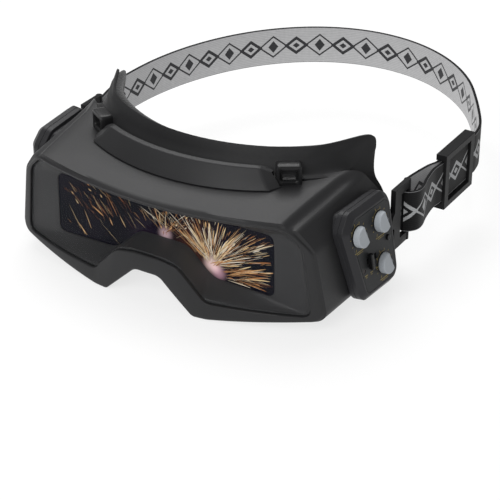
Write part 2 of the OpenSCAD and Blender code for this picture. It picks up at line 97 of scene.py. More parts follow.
# Half outlines as (x, z), from the top to the bottom, of the shell at its front and at ROOF_DEPTH
SHELL_FRONT = [(80, 54), (92.5, 40), (98.5, 3), (95.5, -1), (36.5, -10), (28.5, -10), (8, 9.5)]
SHELL_REAR = [(87, 63), (95.5, 43), (101.5, 3), (98.5, -1), (36.5, -10), (28.5, -10), (8, 9.5)]
# Corner radii of the shell's outline and of the lens opening, and how the hip corners are drawn
SHELL_RADII = [6.0, 3.4, 3.0, 3.0, 1.4, 1.4, 3.2]
OPENING_RADII = [3.0, 4.5, 4.5, 3.0, 3.0, 4.0, 4.0]
EDGE_POINTS = 22
HIP_POINTS = 9
HIP_INWARDS = np.array([0.48, 0.88])
OPENING = [(78, 52), (87, 43.5), (92, 4.5), (89.5, 1.5), (36, 0.3), (20, 18), (8, 20.5)]
WINDOW = [(67, 44.2), (69.5, 41.7), (70, 9.7), (67.5, 7.2), (31.5, 7.7), (16, 22.7), (8, 23.2)]
FLANGE = [(77, 73), (85, 66), (90.5, 40), (93.5, 3), (84.5, -3), (58.5, -10), (30.5, -10), (7, 2.5)]
WINDOW_Y = 18.0
TIP_SWEEP = 8.5
COVER_BACK = 1.9

# Pod frame: x rearwards, y up, z out of the panel face
POD_AT = np.array([106.7, 58.5, 28.0])
POD_FLARE = math.radians(9.6)
POD_TOE = math.radians(4.0)
POD_OUT = np.array([math.cos(POD_FLARE) * math.cos(POD_TOE), -math.cos(POD_FLARE) * math.sin(POD_TOE),
                    math.sin(POD_FLARE)])
POD_BACK = np.array([math.sin(POD_TOE), math.cos(POD_TOE), 0.0])
POD_UP = np.cross(POD_OUT, POD_BACK)
POD_OUTLINE = [(-20, 17), (-14, 23.5), (16.5, 23.5), (20, 20), (20, -20), (16.5, -23.5), (-9, -23.5),
               (-11, -21.5)]
KNOB_SPOTS = {"knob_shade": (-12, 12.6), "knob_sensitivity": (8.5, 12.6), "knob_delay": (8, -11.5)}
KNOB_R = 5.75
KNOB_H = 4.2
LEVER_SPOT = (-5.5, -4.5)
KNOB_TURN = math.radians(18.0)
KNOB_LEAN = math.tan(math.radians(32.0))
KNOB_FLAT = 1.2

BAR_X = 102.8
BAR_Y = 104.0
PIVOT_Z = 30.0
STRAP_H = 25.0
STRAP_T = 1.6
FLAT_POINTS = 9
WRAP_R = 3.1
LOOP = (-3.7, 145.0, 110.2, 142.2)
SLIDER = (105.3, 160.0)


# ---- small tools -----------------------------------------------------------------------------

def linear(code):
    """The linear RGB of an sRGB hex colour."""
    c = np.array([int(code[i:i + 2], 16) for i in (1, 3, 5)]) / 255.0
    return tuple(float(v) for v in np.where(c <= 0.04045, c / 12.92, ((c + 0.055) / 1.055) ** 2.4))


def rgba(colour):
    """A colour socket's four numbers from a hex code or from three linear numbers."""
    rgb = linear(colour) if isinstance(colour, str) else tuple(colour)
    return (*rgb, 1.0)


def to_row(points):
    """Millimetres in the front's own frame, as metres in the row frame."""
    return np.asarray(points, float) * MM + ORIGIN


def whole(half):
    """A half outline made whole about x = 0, clockwise from its top right corner."""
    right = np.array(half, float)
    return np.vstack([right, right[::-1] * (-1, 1)])


def rounded(corners, radius, arc=6, edge=EDGE_POINTS):
    """A closed outline with round corners. Each corner c becomes the curve (1-t)^2 a + 2t(1-t) c + t^2 b,
    where a and b lie on its two edges at the radius from it, or at 0.45 of a shorter edge. Straight runs of
    edge points join the corners."""
    c = np.asarray(corners, float)
    r = np.broadcast_to(np.asarray(radius, float), (len(c),))[:, None]
    before, after = np.roll(c, 1, 0) - c, np.roll(c, -1, 0) - c
    lb, la = np.linalg.norm(before, axis=1)[:, None], np.linalg.norm(after, axis=1)[:, None]
    a = c + before / lb * np.minimum(r, 0.45 * lb)
    b = c + after / la * np.minimum(r, 0.45 * la)
    t = np.linspace(0, 1, arc)[None, :, None]
    curve = (1 - t) ** 2 * a[:, None] + 2 * t * (1 - t) * c[:, None] + t * t * b[:, None]
    s = np.linspace(0, 1, edge + 2)[1:-1][None, :, None]
    run = b[:, None] * (1 - s) + np.roll(a, -1, 0)[:, None] * s
    return np.concatenate([curve, run], axis=1).reshape(-1, 2)


def inset(corners, d):
    """A clockwise outline moved inwards by d: each corner moves by d (n1+n2) / (1 + n1.n2), where n1 and n2
    are the normals of its two edges."""
    c = np.asarray(corners, float)
    e = np.roll(c, -1, 0) - c
    e /= np.linalg.norm(e, axis=1)[:, None]
    n2 = np.c_[e[:, 1], -e[:, 0]]
    n1 = np.roll(n2, 1, 0)
    return c + d * (n1 + n2) / (1 + (n1 * n2).sum(1))[:, None]


def bow(x, d=0.0):
    """Depth y of the bowed front, or of the cylinder d inside it."""
    return BOW_R - np.sqrt((BOW_R - d) ** 2 - np.asarray(x) ** 2)


def round_y(r, x):
    """Depth y at which the upright cylinder of radius r about the head axis stands at x."""
    return HEAD_Y - np.sqrt(np.maximum(r * r - np.asarray(x) ** 2, 1.0))


def grid_faces(n, m, wrap_n, wrap_m):
    """Quads of an n by m grid of points, as an array of vertex numbers."""
    i, j = np.meshgrid(np.arange(n if wrap_n else n - 1), np.arange(m if wrap_m else m - 1), indexing="ij")
    i2, j2 = (i + 1) % n, (j + 1) % m
    return np.stack([i * m + j, i2 * m + j, i2 * m + j2, i * m + j2], axis=-1).reshape(-1, 4)


def end_caps(n, m):
    """The first and last rings of an n by m grid, as two faces."""
    return range(m), range((n - 1) * m, n * m)


def new_piece(name, points, faces, caps=(), uv=None, sharp=32.0):
    """An object from points in metres in the row frame, with faces turned outwards and smooth up to the sharp
    angle. A piece with UVs keeps its points as they are; any other has its doubles merged."""
    mesh = bpy.data.meshes.new(name)
    polygons = [*faces.tolist(), *[list(c) for c in caps]]
    mesh.from_pydata(np.asarray(points, float).reshape(-1, 3).tolist(), [], polygons)
    if uv is not None:
        loops = np.empty(len(mesh.loops), np.int64)
        mesh.loops.foreach_get("vertex_index", loops)
        layer = mesh.uv_layers.new(name=UV_NAME)
        layer.data.foreach_set("uv", np.asarray(uv, np.float32).reshape(-1, 2)[loops].ravel())
    work = bmesh.new()
    work.from_mesh(mesh)
    if uv is None:
        bmesh.ops.remove_doubles(work, verts=work.verts, dist=2e-6)
    bmesh.ops.recalc_face_normals(work, faces=work.faces)
    work.to_mesh(mesh)
    work.free()
    mesh.shade_smooth()
    mesh.set_sharp_from_angle(angle=math.radians(sharp))
    piece = bpy.data.objects.new(name, mesh)
    bpy.context.scene.collection.objects.link(piece)
    return piece


def rings_piece(name, rings, closed=True, sharp=32.0):
    """A piece swept through rings of points in the front's own frame. Point j of ring i joins point j of
    ring i+1. The last ring joins the first where the piece is closed, or else flat caps end it."""
    grid = np.stack(rings)
    n, m = grid.shape[:2]
    caps = () if closed else end_caps(n, m)
    return new_piece(name, to_row(grid), grid_faces(n, m, closed, True), caps, sharp=sharp)


def softened(name, node, width, segments=2, angle=35.0):
    """A copy of a CAD node's mesh with its doubles merged and its hard edges rounded by a Bevel modifier."""
    mesh = NODES[node].data.copy()
    mesh.materials.clear()
    work = bmesh.new()
    work.from_mesh(mesh)
    bmesh.ops.remove_doubles(work, verts=work.verts, dist=1e-6)
    bmesh.ops.dissolve_limit(work, angle_limit=math.radians(0.6), verts=work.verts, edges=work.edges)
    bmesh.ops.recalc_face_normals(work, faces=work.faces)
    work.to_mesh(mesh)
    work.free()
    mesh.shade_smooth()
    mesh.set_sharp_from_angle(angle=math.radians(angle))
    mesh.name = name
    piece = bpy.data.objects.new(name, mesh)
    bpy.context.scene.collection.objects.link(piece)
    bevel = piece.modifiers.new("edges", "BEVEL")
    bevel.width = width * MM
    bevel.segments = segments
    bevel.limit_method = "ANGLE"
    bevel.angle_limit = math.radians(angle)
    bevel.harden_normals = True
    return piece


def settle(piece, body, material, slot, *nodes):
    """Gives a finished piece its material and body, and hides the CAD nodes that it stands for. The slot is
    not used.
    """
    if material is not None:
        piece.data.materials.append(material)
    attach(piece, body)
    if nodes:
        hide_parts(*nodes)
    return piece


def finish_node(node, material):
    """Gives a carried-over CAD node its material."""
    mesh = NODES[node].data
    mesh.materials.clear()
    mesh.materials.append(material)


def pod_points(local, side=1.0):
    """Pod frame millimetres as front frame millimetres, mirrored in x for the other side."""
    p = np.asarray(local, float)
    world = POD_AT + p[..., :1] * POD_BACK + p[..., 1:2] * POD_UP + p[..., 2:3] * POD_OUT
    return world * (side, 1, 1)


# ---- materials -------------------------------------------------------------------------------

def add_node(tree, kind, inputs=None, **settings):
    """Adds a node with its settings. Inputs are values, or sockets to link."""
    made = tree.nodes.new(kind)
    for key, value in settings.items():
        setattr(made, key, value)
    for key, value in (inputs or {}).items():
        if isinstance(value, bpy.types.NodeSocket):
            tree.links.new(value, made.inputs[key])
        else:
            made.inputs[key].default_value = value
    return made


def new_material(name):
    """An empty node material with its output and a Principled BSDF, and its object coordinates."""
    material = bpy.data.materials.new(name)
    material.use_nodes = True
    tree = material.node_tree
    tree.nodes.clear()
    out = tree.nodes.new("ShaderNodeOutputMaterial")
    shader = tree.nodes.new("ShaderNodeBsdfPrincipled")
    tree.links.new(shader.outputs["BSDF"], out.inputs["Surface"])
    place = tree.nodes.new("ShaderNodeTexCoord").outputs["Object"]
    return material, tree, shader, place


def two_tone(tree, factor, low, dark, high, light):
    """A colour ramp from one colour at low to another at high."""
    ramp = add_node(tree, "ShaderNodeValToRGB", {"Fac": factor})
    for stop, at, colour in zip(ramp.color_ramp.elements, (low, high), (dark, light)):
        stop.position = at
        stop.color = colour
    return ramp.outputs["Color"]


def moulded(name, colour, roughness, grain=0.9, bump=0.10, mottle=0.12, specular=0.2):
    """Injection-moulded plastic: a fine spark-eroded grain breaks up the gloss, and slow patches vary the
    shade. The real grain is about 0.1 mm, and it is drawn at about 0.9 mm so that it shows."""
    material, tree, shader, place = new_material(name)
    fine = add_node(tree, "ShaderNodeTexNoise", {"Vector": place, "Scale": 1 / (grain * MM), "Detail": 3.0,
                                                 "Roughness": 0.6})
    slow = add_node(tree, "ShaderNodeTexNoise", {"Vector": place, "Scale": 1 / (34 * MM), "Detail": 2.0})
    dark = tuple(v * (1 - mottle) for v in rgba(colour)[:3]) + (1.0,)
    light = tuple(min(v * (1 + mottle), 1.0) for v in rgba(colour)[:3]) + (1.0,)
    shade = two_tone(tree, slow.outputs["Fac"], 0.3, dark, 0.7, light)
    rough = add_node(tree, "ShaderNodeMapRange", {"Value": fine.outputs["Fac"],
                                                  "From Min": 0.25, "From Max": 0.75,
                                                  "To Min": roughness - 0.05, "To Max": roughness + 0.06})
    relief = add_node(tree, "ShaderNodeBump", {"Height": fine.outputs["Fac"], "Strength": bump,
                                               "Distance": 0.12 * MM})
    tree.links.new(shade, shader.inputs["Base Color"])
    tree.links.new(rough.outputs["Result"], shader.inputs["Roughness"])
    tree.links.new(relief.outputs["Normal"], shader.inputs["Normal"])
    shader.inputs["Specular IOR Level"].default_value = specular
    return material


def metal(name, colour, roughness, scratch=0.8):
    """Brushed or plated metal: long fine noise along one way varies the roughness."""
    material, tree, shader, place = new_material(name)
    long = add_node(tree, "ShaderNodeMapping", {"Vector": place, "Scale": (1.0, 12.0, 12.0)})
    lines = add_node(tree, "ShaderNodeTexNoise", {"Vector": long.outputs["Vector"],
                                                  "Scale": 1 / (scratch * 8 * MM), "Detail": 4.0})
    rough = add_node(tree, "ShaderNodeMapRange", {"Value": lines.outputs["Fac"], "To Min": roughness - 0.08,
                                                  "To Max": roughness + 0.12})
    shader.inputs["Base Color"].default_value = rgba(colour)
    shader.inputs["Metallic"].default_value = 1.0
    tree.links.new(rough.outputs["Result"], shader.inputs["Roughness"])
    return material


def clear_plate(name, colour, alpha, roughness=0.22):
    """Clear polycarbonate: almost nothing but a faint tint and a soft reflection, with slight haze marks."""
    material, tree, shader, place = new_material(name)
    haze = add_node(tree, "ShaderNodeTexNoise", {"Vector": place, "Scale": 1 / (18 * MM), "Detail": 3.0})
    rough = add_node(tree, "ShaderNodeMapRange", {"Value": haze.outputs["Fac"], "To Min": roughness,
                                                  "To Max": roughness + 0.10})
    shader.inputs["Base Color"].default_value = rgba(colour)
    shader.inputs["Alpha"].default_value = alpha
    shader.inputs["IOR"].default_value = 1.58
    shader.inputs["Specular IOR Level"].default_value = 0.08
    tree.links.new(rough.outputs["Result"], shader.inputs["Roughness"])
    return material


def dark_filter(name, base, warm):
    """Coated welding filter: near-black blue glass with slow violet and blue patches, and a painted
    reflection of the arc's glow, given off as emission."""
    material, tree, shader, place = new_material(name)
    slow = add_node(tree, "ShaderNodeTexNoise", {"Vector": place, "Scale": 1 / (22 * MM), "Detail": 3.0})
    shade = two_tone(tree, slow.outputs["Fac"], 0.35, rgba(base), 0.72, rgba(warm))
    tree.links.new(shade, shader.inputs["Base Color"])
    shader.inputs["Roughness"].default_value = 0.12
    shader.inputs["Specular IOR Level"].default_value = 0.08
    total = None
    # Each spot is a painted reflection of the arc's glow: emission that fades with distance from its centre
    for x, z, reach, colour, power in PAINTED_ARC_REFLECTIONS:
        centre = to_row((x, WINDOW_Y, z))
        away = add_node(tree, "ShaderNodeVectorMath", {0: place, 1: tuple(centre)}, operation="DISTANCE")
        fall = add_node(tree, "ShaderNodeMapRange", {"Value": away.outputs["Value"], "From Min": 0.0,
                                                     "From Max": reach * MM, "To Min": power, "To Max": 0.0},
                        interpolation_type="SMOOTHERSTEP")
        lit = add_node(tree, "ShaderNodeVectorMath", {0: rgba(colour)[:3], "Scale": fall.outputs["Result"]},
                       operation="SCALE")
        total = lit.outputs[0] if total is None else add_node(
            tree, "ShaderNodeVectorMath", {0: total, 1: lit.outputs[0]}, operation="ADD").outputs[0]
    tree.links.new(total, shader.inputs["Emission Color"])
    shader.inputs["Emission Strength"].default_value = 1.0
    return material


def spark_reflection_paint(name):
    """Painted reflections of flying sparks on the filter: each streak gives off its own light, from a dull
    red through gold to straw white as its heat rises, and brightens from its tail to its head."""
    material, tree, shader, _ = new_material(name)
    uv = add_node(tree, "ShaderNodeUVMap", uv_map=UV_NAME)
    split = add_node(tree, "ShaderNodeSeparateXYZ", {"Vector": uv.outputs["UV"]})
    ramp = add_node(tree, "ShaderNodeValToRGB", {"Fac": split.outputs["X"]})
    heats = ((0.0, "#3c1e18"), (0.25, "#9a5a34"), (0.5, "#e8a868"), (0.75, "#f8dca8"), (1.0, "#fff4e0"))
    for at, _ in heats[1:-1]:
        ramp.color_ramp.elements.new(at)
    for stop, (_, code) in zip(ramp.color_ramp.elements, heats):
        stop.color = rgba(code)
    fade = add_node(tree, "ShaderNodeMapRange", {"Value": split.outputs["Y"], "To Min": 0.45, "To Max": 1.0})
    tint = add_node(tree, "ShaderNodeVectorMath", {0: ramp.outputs["Color"], "Scale": fade.outputs["Result"]},
                    operation="SCALE")
    shader.inputs["Base Color"].default_value = rgba("#050505")
    shader.inputs["Roughness"].default_value = 0.9
    tree.links.new(tint.outputs[0], shader.inputs["Emission Color"])
    shader.inputs["Emission Strength"].default_value = 1.0
    return material


def webbing(name, ground, motif, edge, look):
    """Woven elastic webbing: 1.2 mm cords run along it and a finer weft crosses them, drawn a little coarse
    so that they show. A row of woven lozenges and chevrons carries the second yarn colour, and a thin line
    the third at each edge."""
    material, tree, shader, _ = new_material(name)
    uv = add_node(tree, "ShaderNodeUVMap", uv_map=UV_NAME)
    split = add_node(tree, "ShaderNodeSeparateXYZ", {"Vector": uv.outputs["UV"]})
    along, across = split.outputs["X"], split.outputs["Y"]

    def calc(operation, a, b=0.0, c=0.0):
        return add_node(tree, "ShaderNodeMath", {0: a, 1: b, 2: c}, operation=operation).outputs[0]

    off = calc("ABSOLUTE", across)
    pitch = look.motif_pitch * MM
    near = calc("PINGPONG", along, pitch / 2)
    far = calc("SUBTRACT", pitch / 2, near)
    lozenge = calc("ADD", calc("DIVIDE", near, 8.2 * MM), calc("DIVIDE", off, 6.4 * MM))
    ring = calc("SUBTRACT", calc("LESS_THAN", lozenge, 1.0), calc("LESS_THAN", lozenge, 0.62))
    heart = calc("LESS_THAN", lozenge, 0.30)
    small = calc("ADD", calc("DIVIDE", far, 3.4 * MM), calc("DIVIDE", off, 4.2 * MM))
    bead = calc("LESS_THAN", small, 1.0)
    chevron = calc("ADD", calc("DIVIDE", off, 5.2 * MM), calc("DIVIDE", far, 6.6 * MM))
    link = calc("MULTIPLY", calc("LESS_THAN", chevron, 1.5), calc("GREATER_THAN", chevron, 1.25))
    mark = calc("MINIMUM", calc("ADD", calc("ADD", ring, heart), calc("ADD", bead, link)), 1.0)
    line = calc("GREATER_THAN", off, 11.9 * MM)
    weave = []
    for way, gap, wander in (("Y", 1.2, 0.4), ("X", 0.9, 0.6)):
        weave.append(add_node(tree, "ShaderNodeTexWave", {"Vector": uv.outputs["UV"],
                                                          "Scale": 1 / (gap * MM) / WAVE_BANDS,
                                                          "Distortion": wander, "Detail": 1.0},
                              wave_type="BANDS", bands_direction=way).outputs["Fac"])
    knit = calc("MULTIPLY", weave[0], calc("MULTIPLY_ADD", weave[1], 0.5, 0.5))
    fuzz = add_node(tree, "ShaderNodeTexNoise", {"Vector": uv.outputs["UV"], "Scale": 1 / (2.5 * MM),
                                                 "Detail": 4.0})
    first = add_node(tree, "ShaderNodeMix", {0: mark, 6: rgba(ground), 7: rgba(motif)}, data_type="RGBA")
    second = add_node(tree, "ShaderNodeMix", {0: line, 6: first.outputs[2], 7: rgba(edge)}, data_type="RGBA")
    # Painted shade: the colour darkens where the knit is low, in the grooves between the cords; the fuzz
    # varies the tone at random
    shade = calc("MULTIPLY_ADD", knit, 0.26, calc("MULTIPLY_ADD", fuzz.outputs["Fac"], 0.22, 0.70))
    final = add_node(tree, "ShaderNodeMix", {0: 1.0, 6: second.outputs[2], 7: (1, 1, 1, 1)}, data_type="RGBA",
                     blend_type="MULTIPLY")
    tree.links.new(add_node(tree, "ShaderNodeCombineColor", {0: shade, 1: shade, 2: shade}).outputs[0],
                   final.inputs[7])
    relief = add_node(tree, "ShaderNodeBump", {"Height": knit, "Strength": 0.35, "Distance": 0.15 * MM})
    tree.links.new(final.outputs[2], shader.inputs["Base Color"])
    tree.links.new(relief.outputs["Normal"], shader.inputs["Normal"])
    shader.inputs["Roughness"].default_value = 0.85
    shader.inputs["Sheen Weight"].default_value = 0.15
    shader.inputs["Specular IOR Level"].default_value = 0.08
    return material


def open_foam(name, colour):
    """Open-cell polyether foam: pores painted darker than the cell walls, as shade inside them, with no
    gloss.
    """
    material, tree, shader, place = new_material(name)
    cells = add_node(tree, "ShaderNodeTexVoronoi", {"Vector": place, "Scale": 1 / (1.1 * MM)})
    ramp = add_node(tree, "ShaderNodeValToRGB", {"Fac": cells.outputs["Distance"]})
    base = rgba(colour)
    # Painted shade: the colour falls to a third of the base in each cell's middle, as shade in the pores
    ramp.color_ramp.elements[0].color = tuple(v * 0.35 for v in base[:3]) + (1.0,)
    ramp.color_ramp.elements[1].position = 0.5
    ramp.color_ramp.elements[1].color = base
    relief = add_node(tree, "ShaderNodeBump", {"Height": cells.outputs["Distance"], "Strength": 0.6,
                                               "Distance": 0.4 * MM})
    tree.links.new(ramp.outputs["Color"], shader.inputs["Base Color"])
    tree.links.new(relief.outputs["Normal"], shader.inputs["Normal"])
    shader.inputs["Roughness"].default_value = 0.95
    shader.inputs["Specular IOR Level"].default_value = 0.15
    shader.inputs["Sheen Weight"].default_value = 0.3
    return material


# Painted reflections of the arc's glow on the filter, given off as emission: x, z, reach in mm, colour,
# strength
PAINTED_ARC_REFLECTIONS = [
    (31.0, 15.5, 8.0, "#f0d0cc", 0.95),
    (35.0, 11.5, 7.0, "#d8a8b8", 0.6),
    (1.0, 25.5, 6.5, "#e6c4cc", 0.60),
    (22.0, 24.0, 24.0, "#8a5030", 0.16),
    (-12.0, 22.0, 18.0, "#3c2440", 0.18),
]


# ---- properties ------------------------------------------------------------------------------

class GoggleLooks(bpy.types.PropertyGroup):
    """Sizes and colours that a user of the goggles would change."""
    shell_colour: FloatVectorProperty(
        name="Shell", description="Colour of the moulded shell", subtype="COLOR", size=3,
        default=linear("#2a2a2b"))
    bezel_colour: FloatVectorProperty(
        name="Bezel", description="Colour of the funnel round the window", subtype="COLOR", size=3,
        default=linear("#3f3f40"))
    seal_colour: FloatVectorProperty(
        name="Seal", description="Colour of the rubber seal", subtype="COLOR", size=3,
        default=linear("#232324"))
    knob_colour: FloatVectorProperty(
        name="Knobs", description="Colour of the control knobs", subtype="COLOR", size=3,
        default=linear("#9da2a7"))
    strap_out_colour: FloatVectorProperty(
        name="Strap outside", description="Ground colour of the strap's outer face", subtype="COLOR", size=3,
        default=linear("#161617"))
    strap_in_colour: FloatVectorProperty(
        name="Strap inside", description="Ground colour of the strap's inner face", subtype="COLOR", size=3,
        default=linear("#bdbdbe"))
    rim_fillet: FloatProperty(
        name="Rim fillet", description="Radius round the front rim", subtype="DISTANCE", unit="LENGTH",
        default=1.8 * MM, min=0.5 * MM, max=3 * MM)
    roof_crown: FloatProperty(
        name="Roof crown", description="Rise of the roof between its edges", subtype="DISTANCE",
        unit="LENGTH", default=1.4 * MM, min=0.0, max=3 * MM)
    hip_channel: FloatProperty(
        name="Hip channel", description="Depth of the shallow channel along each hip", subtype="DISTANCE",
        unit="LENGTH", default=2.0 * MM, min=0.0, max=2.2 * MM)
    edge_round: FloatProperty(
        name="Edge rounding", description="Radius on small moulded edges", subtype="DISTANCE", unit="LENGTH",
        default=0.45 * MM, min=0.1 * MM, max=1 * MM)
    motif_pitch: FloatProperty(
        name="Motif pitch", description="Distance between two woven lozenges, in millimetres", default=31.0,
        min=20.0, max=60.0)
    spark_count: IntProperty(
        name="Sparks", description="Number of spark streaks mirrored in the window", default=620, min=0,
        max=1200)


# ---- front shell -----------------------------------------------------------------------------

def shell_outlines(d=0.0):
    """Rounded outlines of the shell at its front and at ROOF_DEPTH, inset by d, point for point."""
    r = np.maximum(np.r_[SHELL_RADII, SHELL_RADII[::-1]] - d * 0.4, 0.4)
    return [rounded(inset(whole(half), d), r, arc=HIP_POINTS) for half in (SHELL_FRONT, SHELL_REAR)]


def shell_ring(outlines, y, crown=0.0, channel=0.0):
    """The shell's outline at depths y, one depth a point: front + (rear - front) y / ROOF_DEPTH. Its top
    edge is lifted by crown times a smooth hump that dies out at the hips, and its hip corners are sunk
    towards the inside by channel times sin^2 along their arcs."""
    front, rear = outlines
    p = front + (rear - front) * (y / ROOF_DEPTH)[:, None]
    dip = channel * np.sin(np.linspace(0, math.pi, HIP_POINTS)) ** 2
    last = len(p) - HIP_POINTS - EDGE_POINTS
    p[:HIP_POINTS] -= dip[:, None] * HIP_INWARDS
    p[last:last + HIP_POINTS] -= dip[:, None] * HIP_INWARDS * (-1, 1)
    top = np.clip((p[:, 1] - 52.0) / 2.5, 0, 1) * np.clip((84.0 - np.abs(p[:, 0])) / 26.0, 0, 1) ** 0.8
    return np.c_[p[:, 0], y, p[:, 1] + crown * top]


def shell_rings(look):
    """Closed rings of the shell: forward along the outside, round the front edge, across the rim, through
    the lens opening and back again along the inside of the wall."""
    outer, inner = shell_outlines(), shell_outlines(WALL)
    lens = rounded(whole(OPENING), np.r_[OPENING_RADII, OPENING_RADII[::-1]], arc=HIP_POINTS)
    first = outer[0]
    gap = np.linalg.norm(lens - first, axis=1)
    front = bow(first[:, 0])
    rear = np.minimum(round_y(SHELL_BACK_R, outer[1][:, 0]), SHELL_END)
    fillet = look.rim_fillet / MM
    crown = look.roof_crown / MM
    rings = [shell_ring(inner, rear - 0.1), shell_ring(shell_outlines(0.6), rear),
             shell_ring(outer, rear - 0.5)]
    for f in np.linspace(0.98, 0.0, 20):
        rings.append(shell_ring(outer, front + fillet + f * (rear - 0.6 - front - fillet),
                                crown * math.sin(math.pi * min(f * 1.15 + 0.04, 1.0)),
                                look.hip_channel / MM * min((1.0 - f) / 0.18, 1.0)))
    for angle in np.radians([20, 40, 60, 80, 90]):
        w = np.minimum(fillet * (1 - math.cos(angle)) / gap, 0.5)[:, None]
        xz = first * (1 - w) + lens * w
        rings.append(np.c_[xz[:, 0], bow(xz[:, 0]) + fillet * (1 - math.sin(angle)), xz[:, 1]])
    for back, deep in ((0.9, 0.0), (0.35, 0.12), (0.06, 0.45), (0.0, 0.9)):
        w = (1 - back / gap)[:, None]
        xz = first * (1 - w) + lens * w
        rings.append(np.c_[xz[:, 0], bow(xz[:, 0]) + deep, xz[:, 1]])
    for deep in (2.1, 3.6):
        rings.append(np.c_[lens[:, 0], bow(lens[:, 0]) + deep, lens[:, 1]])
    for f in (0.0, 0.5, 1.0):
        rings.append(shell_ring(inner, front + 3.7 + f * (rear - 0.4 - front - 3.7)))
    return rings


class GOGGLES_OT_shell(bpy.types.Operator):
    """Builds the moulded front shell with its rim, crowned roof and side walls"""
    bl_idname = "goggles.shell"
    bl_label = "Front shell"

    def execute(self, context):
        look = context.scene.goggle_looks
        # Glass-filled nylon, moulded in black: satin, with a fine even grain
        black = moulded("satin_black_nylon", look.shell_colour, 0.42, bump=0.06, mottle=0.07)
        piece = rings_piece("shell_moulding", shell_rings(look), sharp=40)
        settle(piece, "goggle", black, "shell_black", "front_shell")
        return {"FINISHED"}


# ---- hood and clip sockets -------------------------------------------------------------------

# Hood profile as (radius about the head axis, z, half width). The first points are the foot, whose z is
# counted from the roof, and the rest run up the front wall, over the edge and down behind
HOOD_FOOT = 4
HOOD = [(123.3, -2.5, 56.2), (123.3, 0.15, 56.2), (124.5, 0.5, 56.5), (124.2, 1.0, 56.2), (120.6, 63.6, 52.3),
        (117.2, 68.2, 48.7), (116.8, 68.6, 48.3), (116.2, 68.8, 47.9), (113.8, 68.9, 46.8),
        (113.2, 68.6, 46.5), (112.9, 67.9, 46.3), (112.4, 63.0, 46.3), (111.9, 57.2, 46.3)]


def roof_z(x, y, crown):
    """Height of the roof: 54 + 9 y / ROOF_DEPTH and the crown's hump."""
    return 54 + 9 * y / ROOF_DEPTH + crown * np.clip((84.0 - np.abs(x)) / 26.0, 0, 1) ** 0.8


def hood_rings(look):
    """Rings across the hood from its left end to its right. Ring u lies at the angles asin(half width /
    radius) times u, and five more rings at each end run down a slanted facet to a back edge on the roof."""
    r, z, hw = np.array(HOOD).T
    theta = np.arcsin(hw / r)
    u = np.linspace(-1, 1, 49)
    angle = u[:, None] * theta[None, :]
    x, y = r * np.sin(angle), HEAD_Y - r * np.cos(angle)
    up = np.tile(z, (len(u), 1))
    up[:, :HOOD_FOOT] += roof_z(x, y, look.roof_crown / MM)[:, :HOOD_FOOT]
    middle = np.stack([x, y, up], axis=-1)
    end = middle[-1]
    # The facet's far side: lower, further out and further back than the wall's own end
    tall = end[:, 2]
    back = np.stack([np.interp(tall, [56, 69], [62.0, 53.0]),
                     end[:, 1] + np.interp(tall, [56, 69], [8.0, 3.0]),
                     np.interp(tall, [56, 60, 69], [56.0, 60.0, 66.5])], axis=-1)
    back[9:] = end[9:] + (3.5, 1.5, -0.4)
    facet = [end * (1 - w) + back * w for w in (0.04, 0.5, 0.94, 1.0)]
    right = np.stack([*facet, back * (1, 1, 0) + (0.3, 0, 56.5)])
    return np.concatenate([right[::-1] * (-1, 1, 1), middle, right])


def socket_rings(side):
    """Rings of one clip socket: round the front edge, back along the outside, and forward again through the
    slot that takes a clip. Its box has its own axes: along, back and up."""
    turn = math.radians(33.0)
    along = np.array([math.cos(turn), math.sin(turn), 0.0])
    back = np.array([-math.sin(turn), math.cos(turn), 0.0])
    front = np.array([60.4, 48.4, 0.0]) - 2.9 * back
    outer = [(7.0, 70.6), (7.0, 56.5), (-7.0, 56.5), (-7.0, 70.6)]
    slot = [(4.3, 67.4), (4.3, 61.8), (-4.3, 61.8), (-4.3, 67.4)]
    rings = []
    for shape, d, deep, radius in ((outer, 0.9, 0.0, 1.6), (outer, 0.3, 0.2, 2.0), (outer, 0.0, 0.8, 2.2),
                                   (outer, 0.0, 6.6, 2.2), (outer, 0.4, 7.2, 2.0), (outer, 1.4, 7.4, 1.2),
                                   (slot, 0.0, 7.4, 1.4), (slot, 0.0, 1.2, 1.4), (slot, -0.3, 0.5, 1.6),
                                   (slot, -0.8, 0.0, 1.8)):
        xz = rounded(inset(shape, d), radius, arc=6, edge=3)
        rings.append((front + xz[:, :1] * along + deep * back + xz[:, 1:] * (0, 0, 1)) * (side, 1, 1))
    return rings


class GOGGLES_OT_hood(bpy.types.Operator):
    """Builds the raised vent hood and the two clip sockets beside it"""
    bl_idname = "goggles.hood"
    bl_label = "Vent hood and sockets"

    def execute(self, context):
        look = context.scene.goggle_looks
        # The same nylon as the shell, moulded with it
        black = moulded("satin_black_nylon_hood", look.shell_colour, 0.42, bump=0.06, mottle=0.07)
        hood = rings_piece("hood_moulding", hood_rings(look), closed=False, sharp=28)
        settle(hood, "goggle", black, "shell_black", "vent_hood")
        # Sockets from a polished insert: darker and glossier, with small highlights on their edges
        dark = moulded("polished_black_nylon", "#1c1c1d", 0.30, bump=0.03, mottle=0.05)
        pair = [np.stack(socket_rings(side)) for side in (1.0, -1.0)]
        n, m = pair[0].shape[:2]
        faces = grid_faces(n, m, True, True)
        sockets = new_piece("socket_mouldings", to_row(np.stack(pair)), np.vstack([faces, faces + n * m]),
                            sharp=40)
        settle(sockets, "goggle", dark, "shell_black", "clip_sockets")
        return {"FINISHED"}


# ---- window ----------------------------------------------------------------------------------

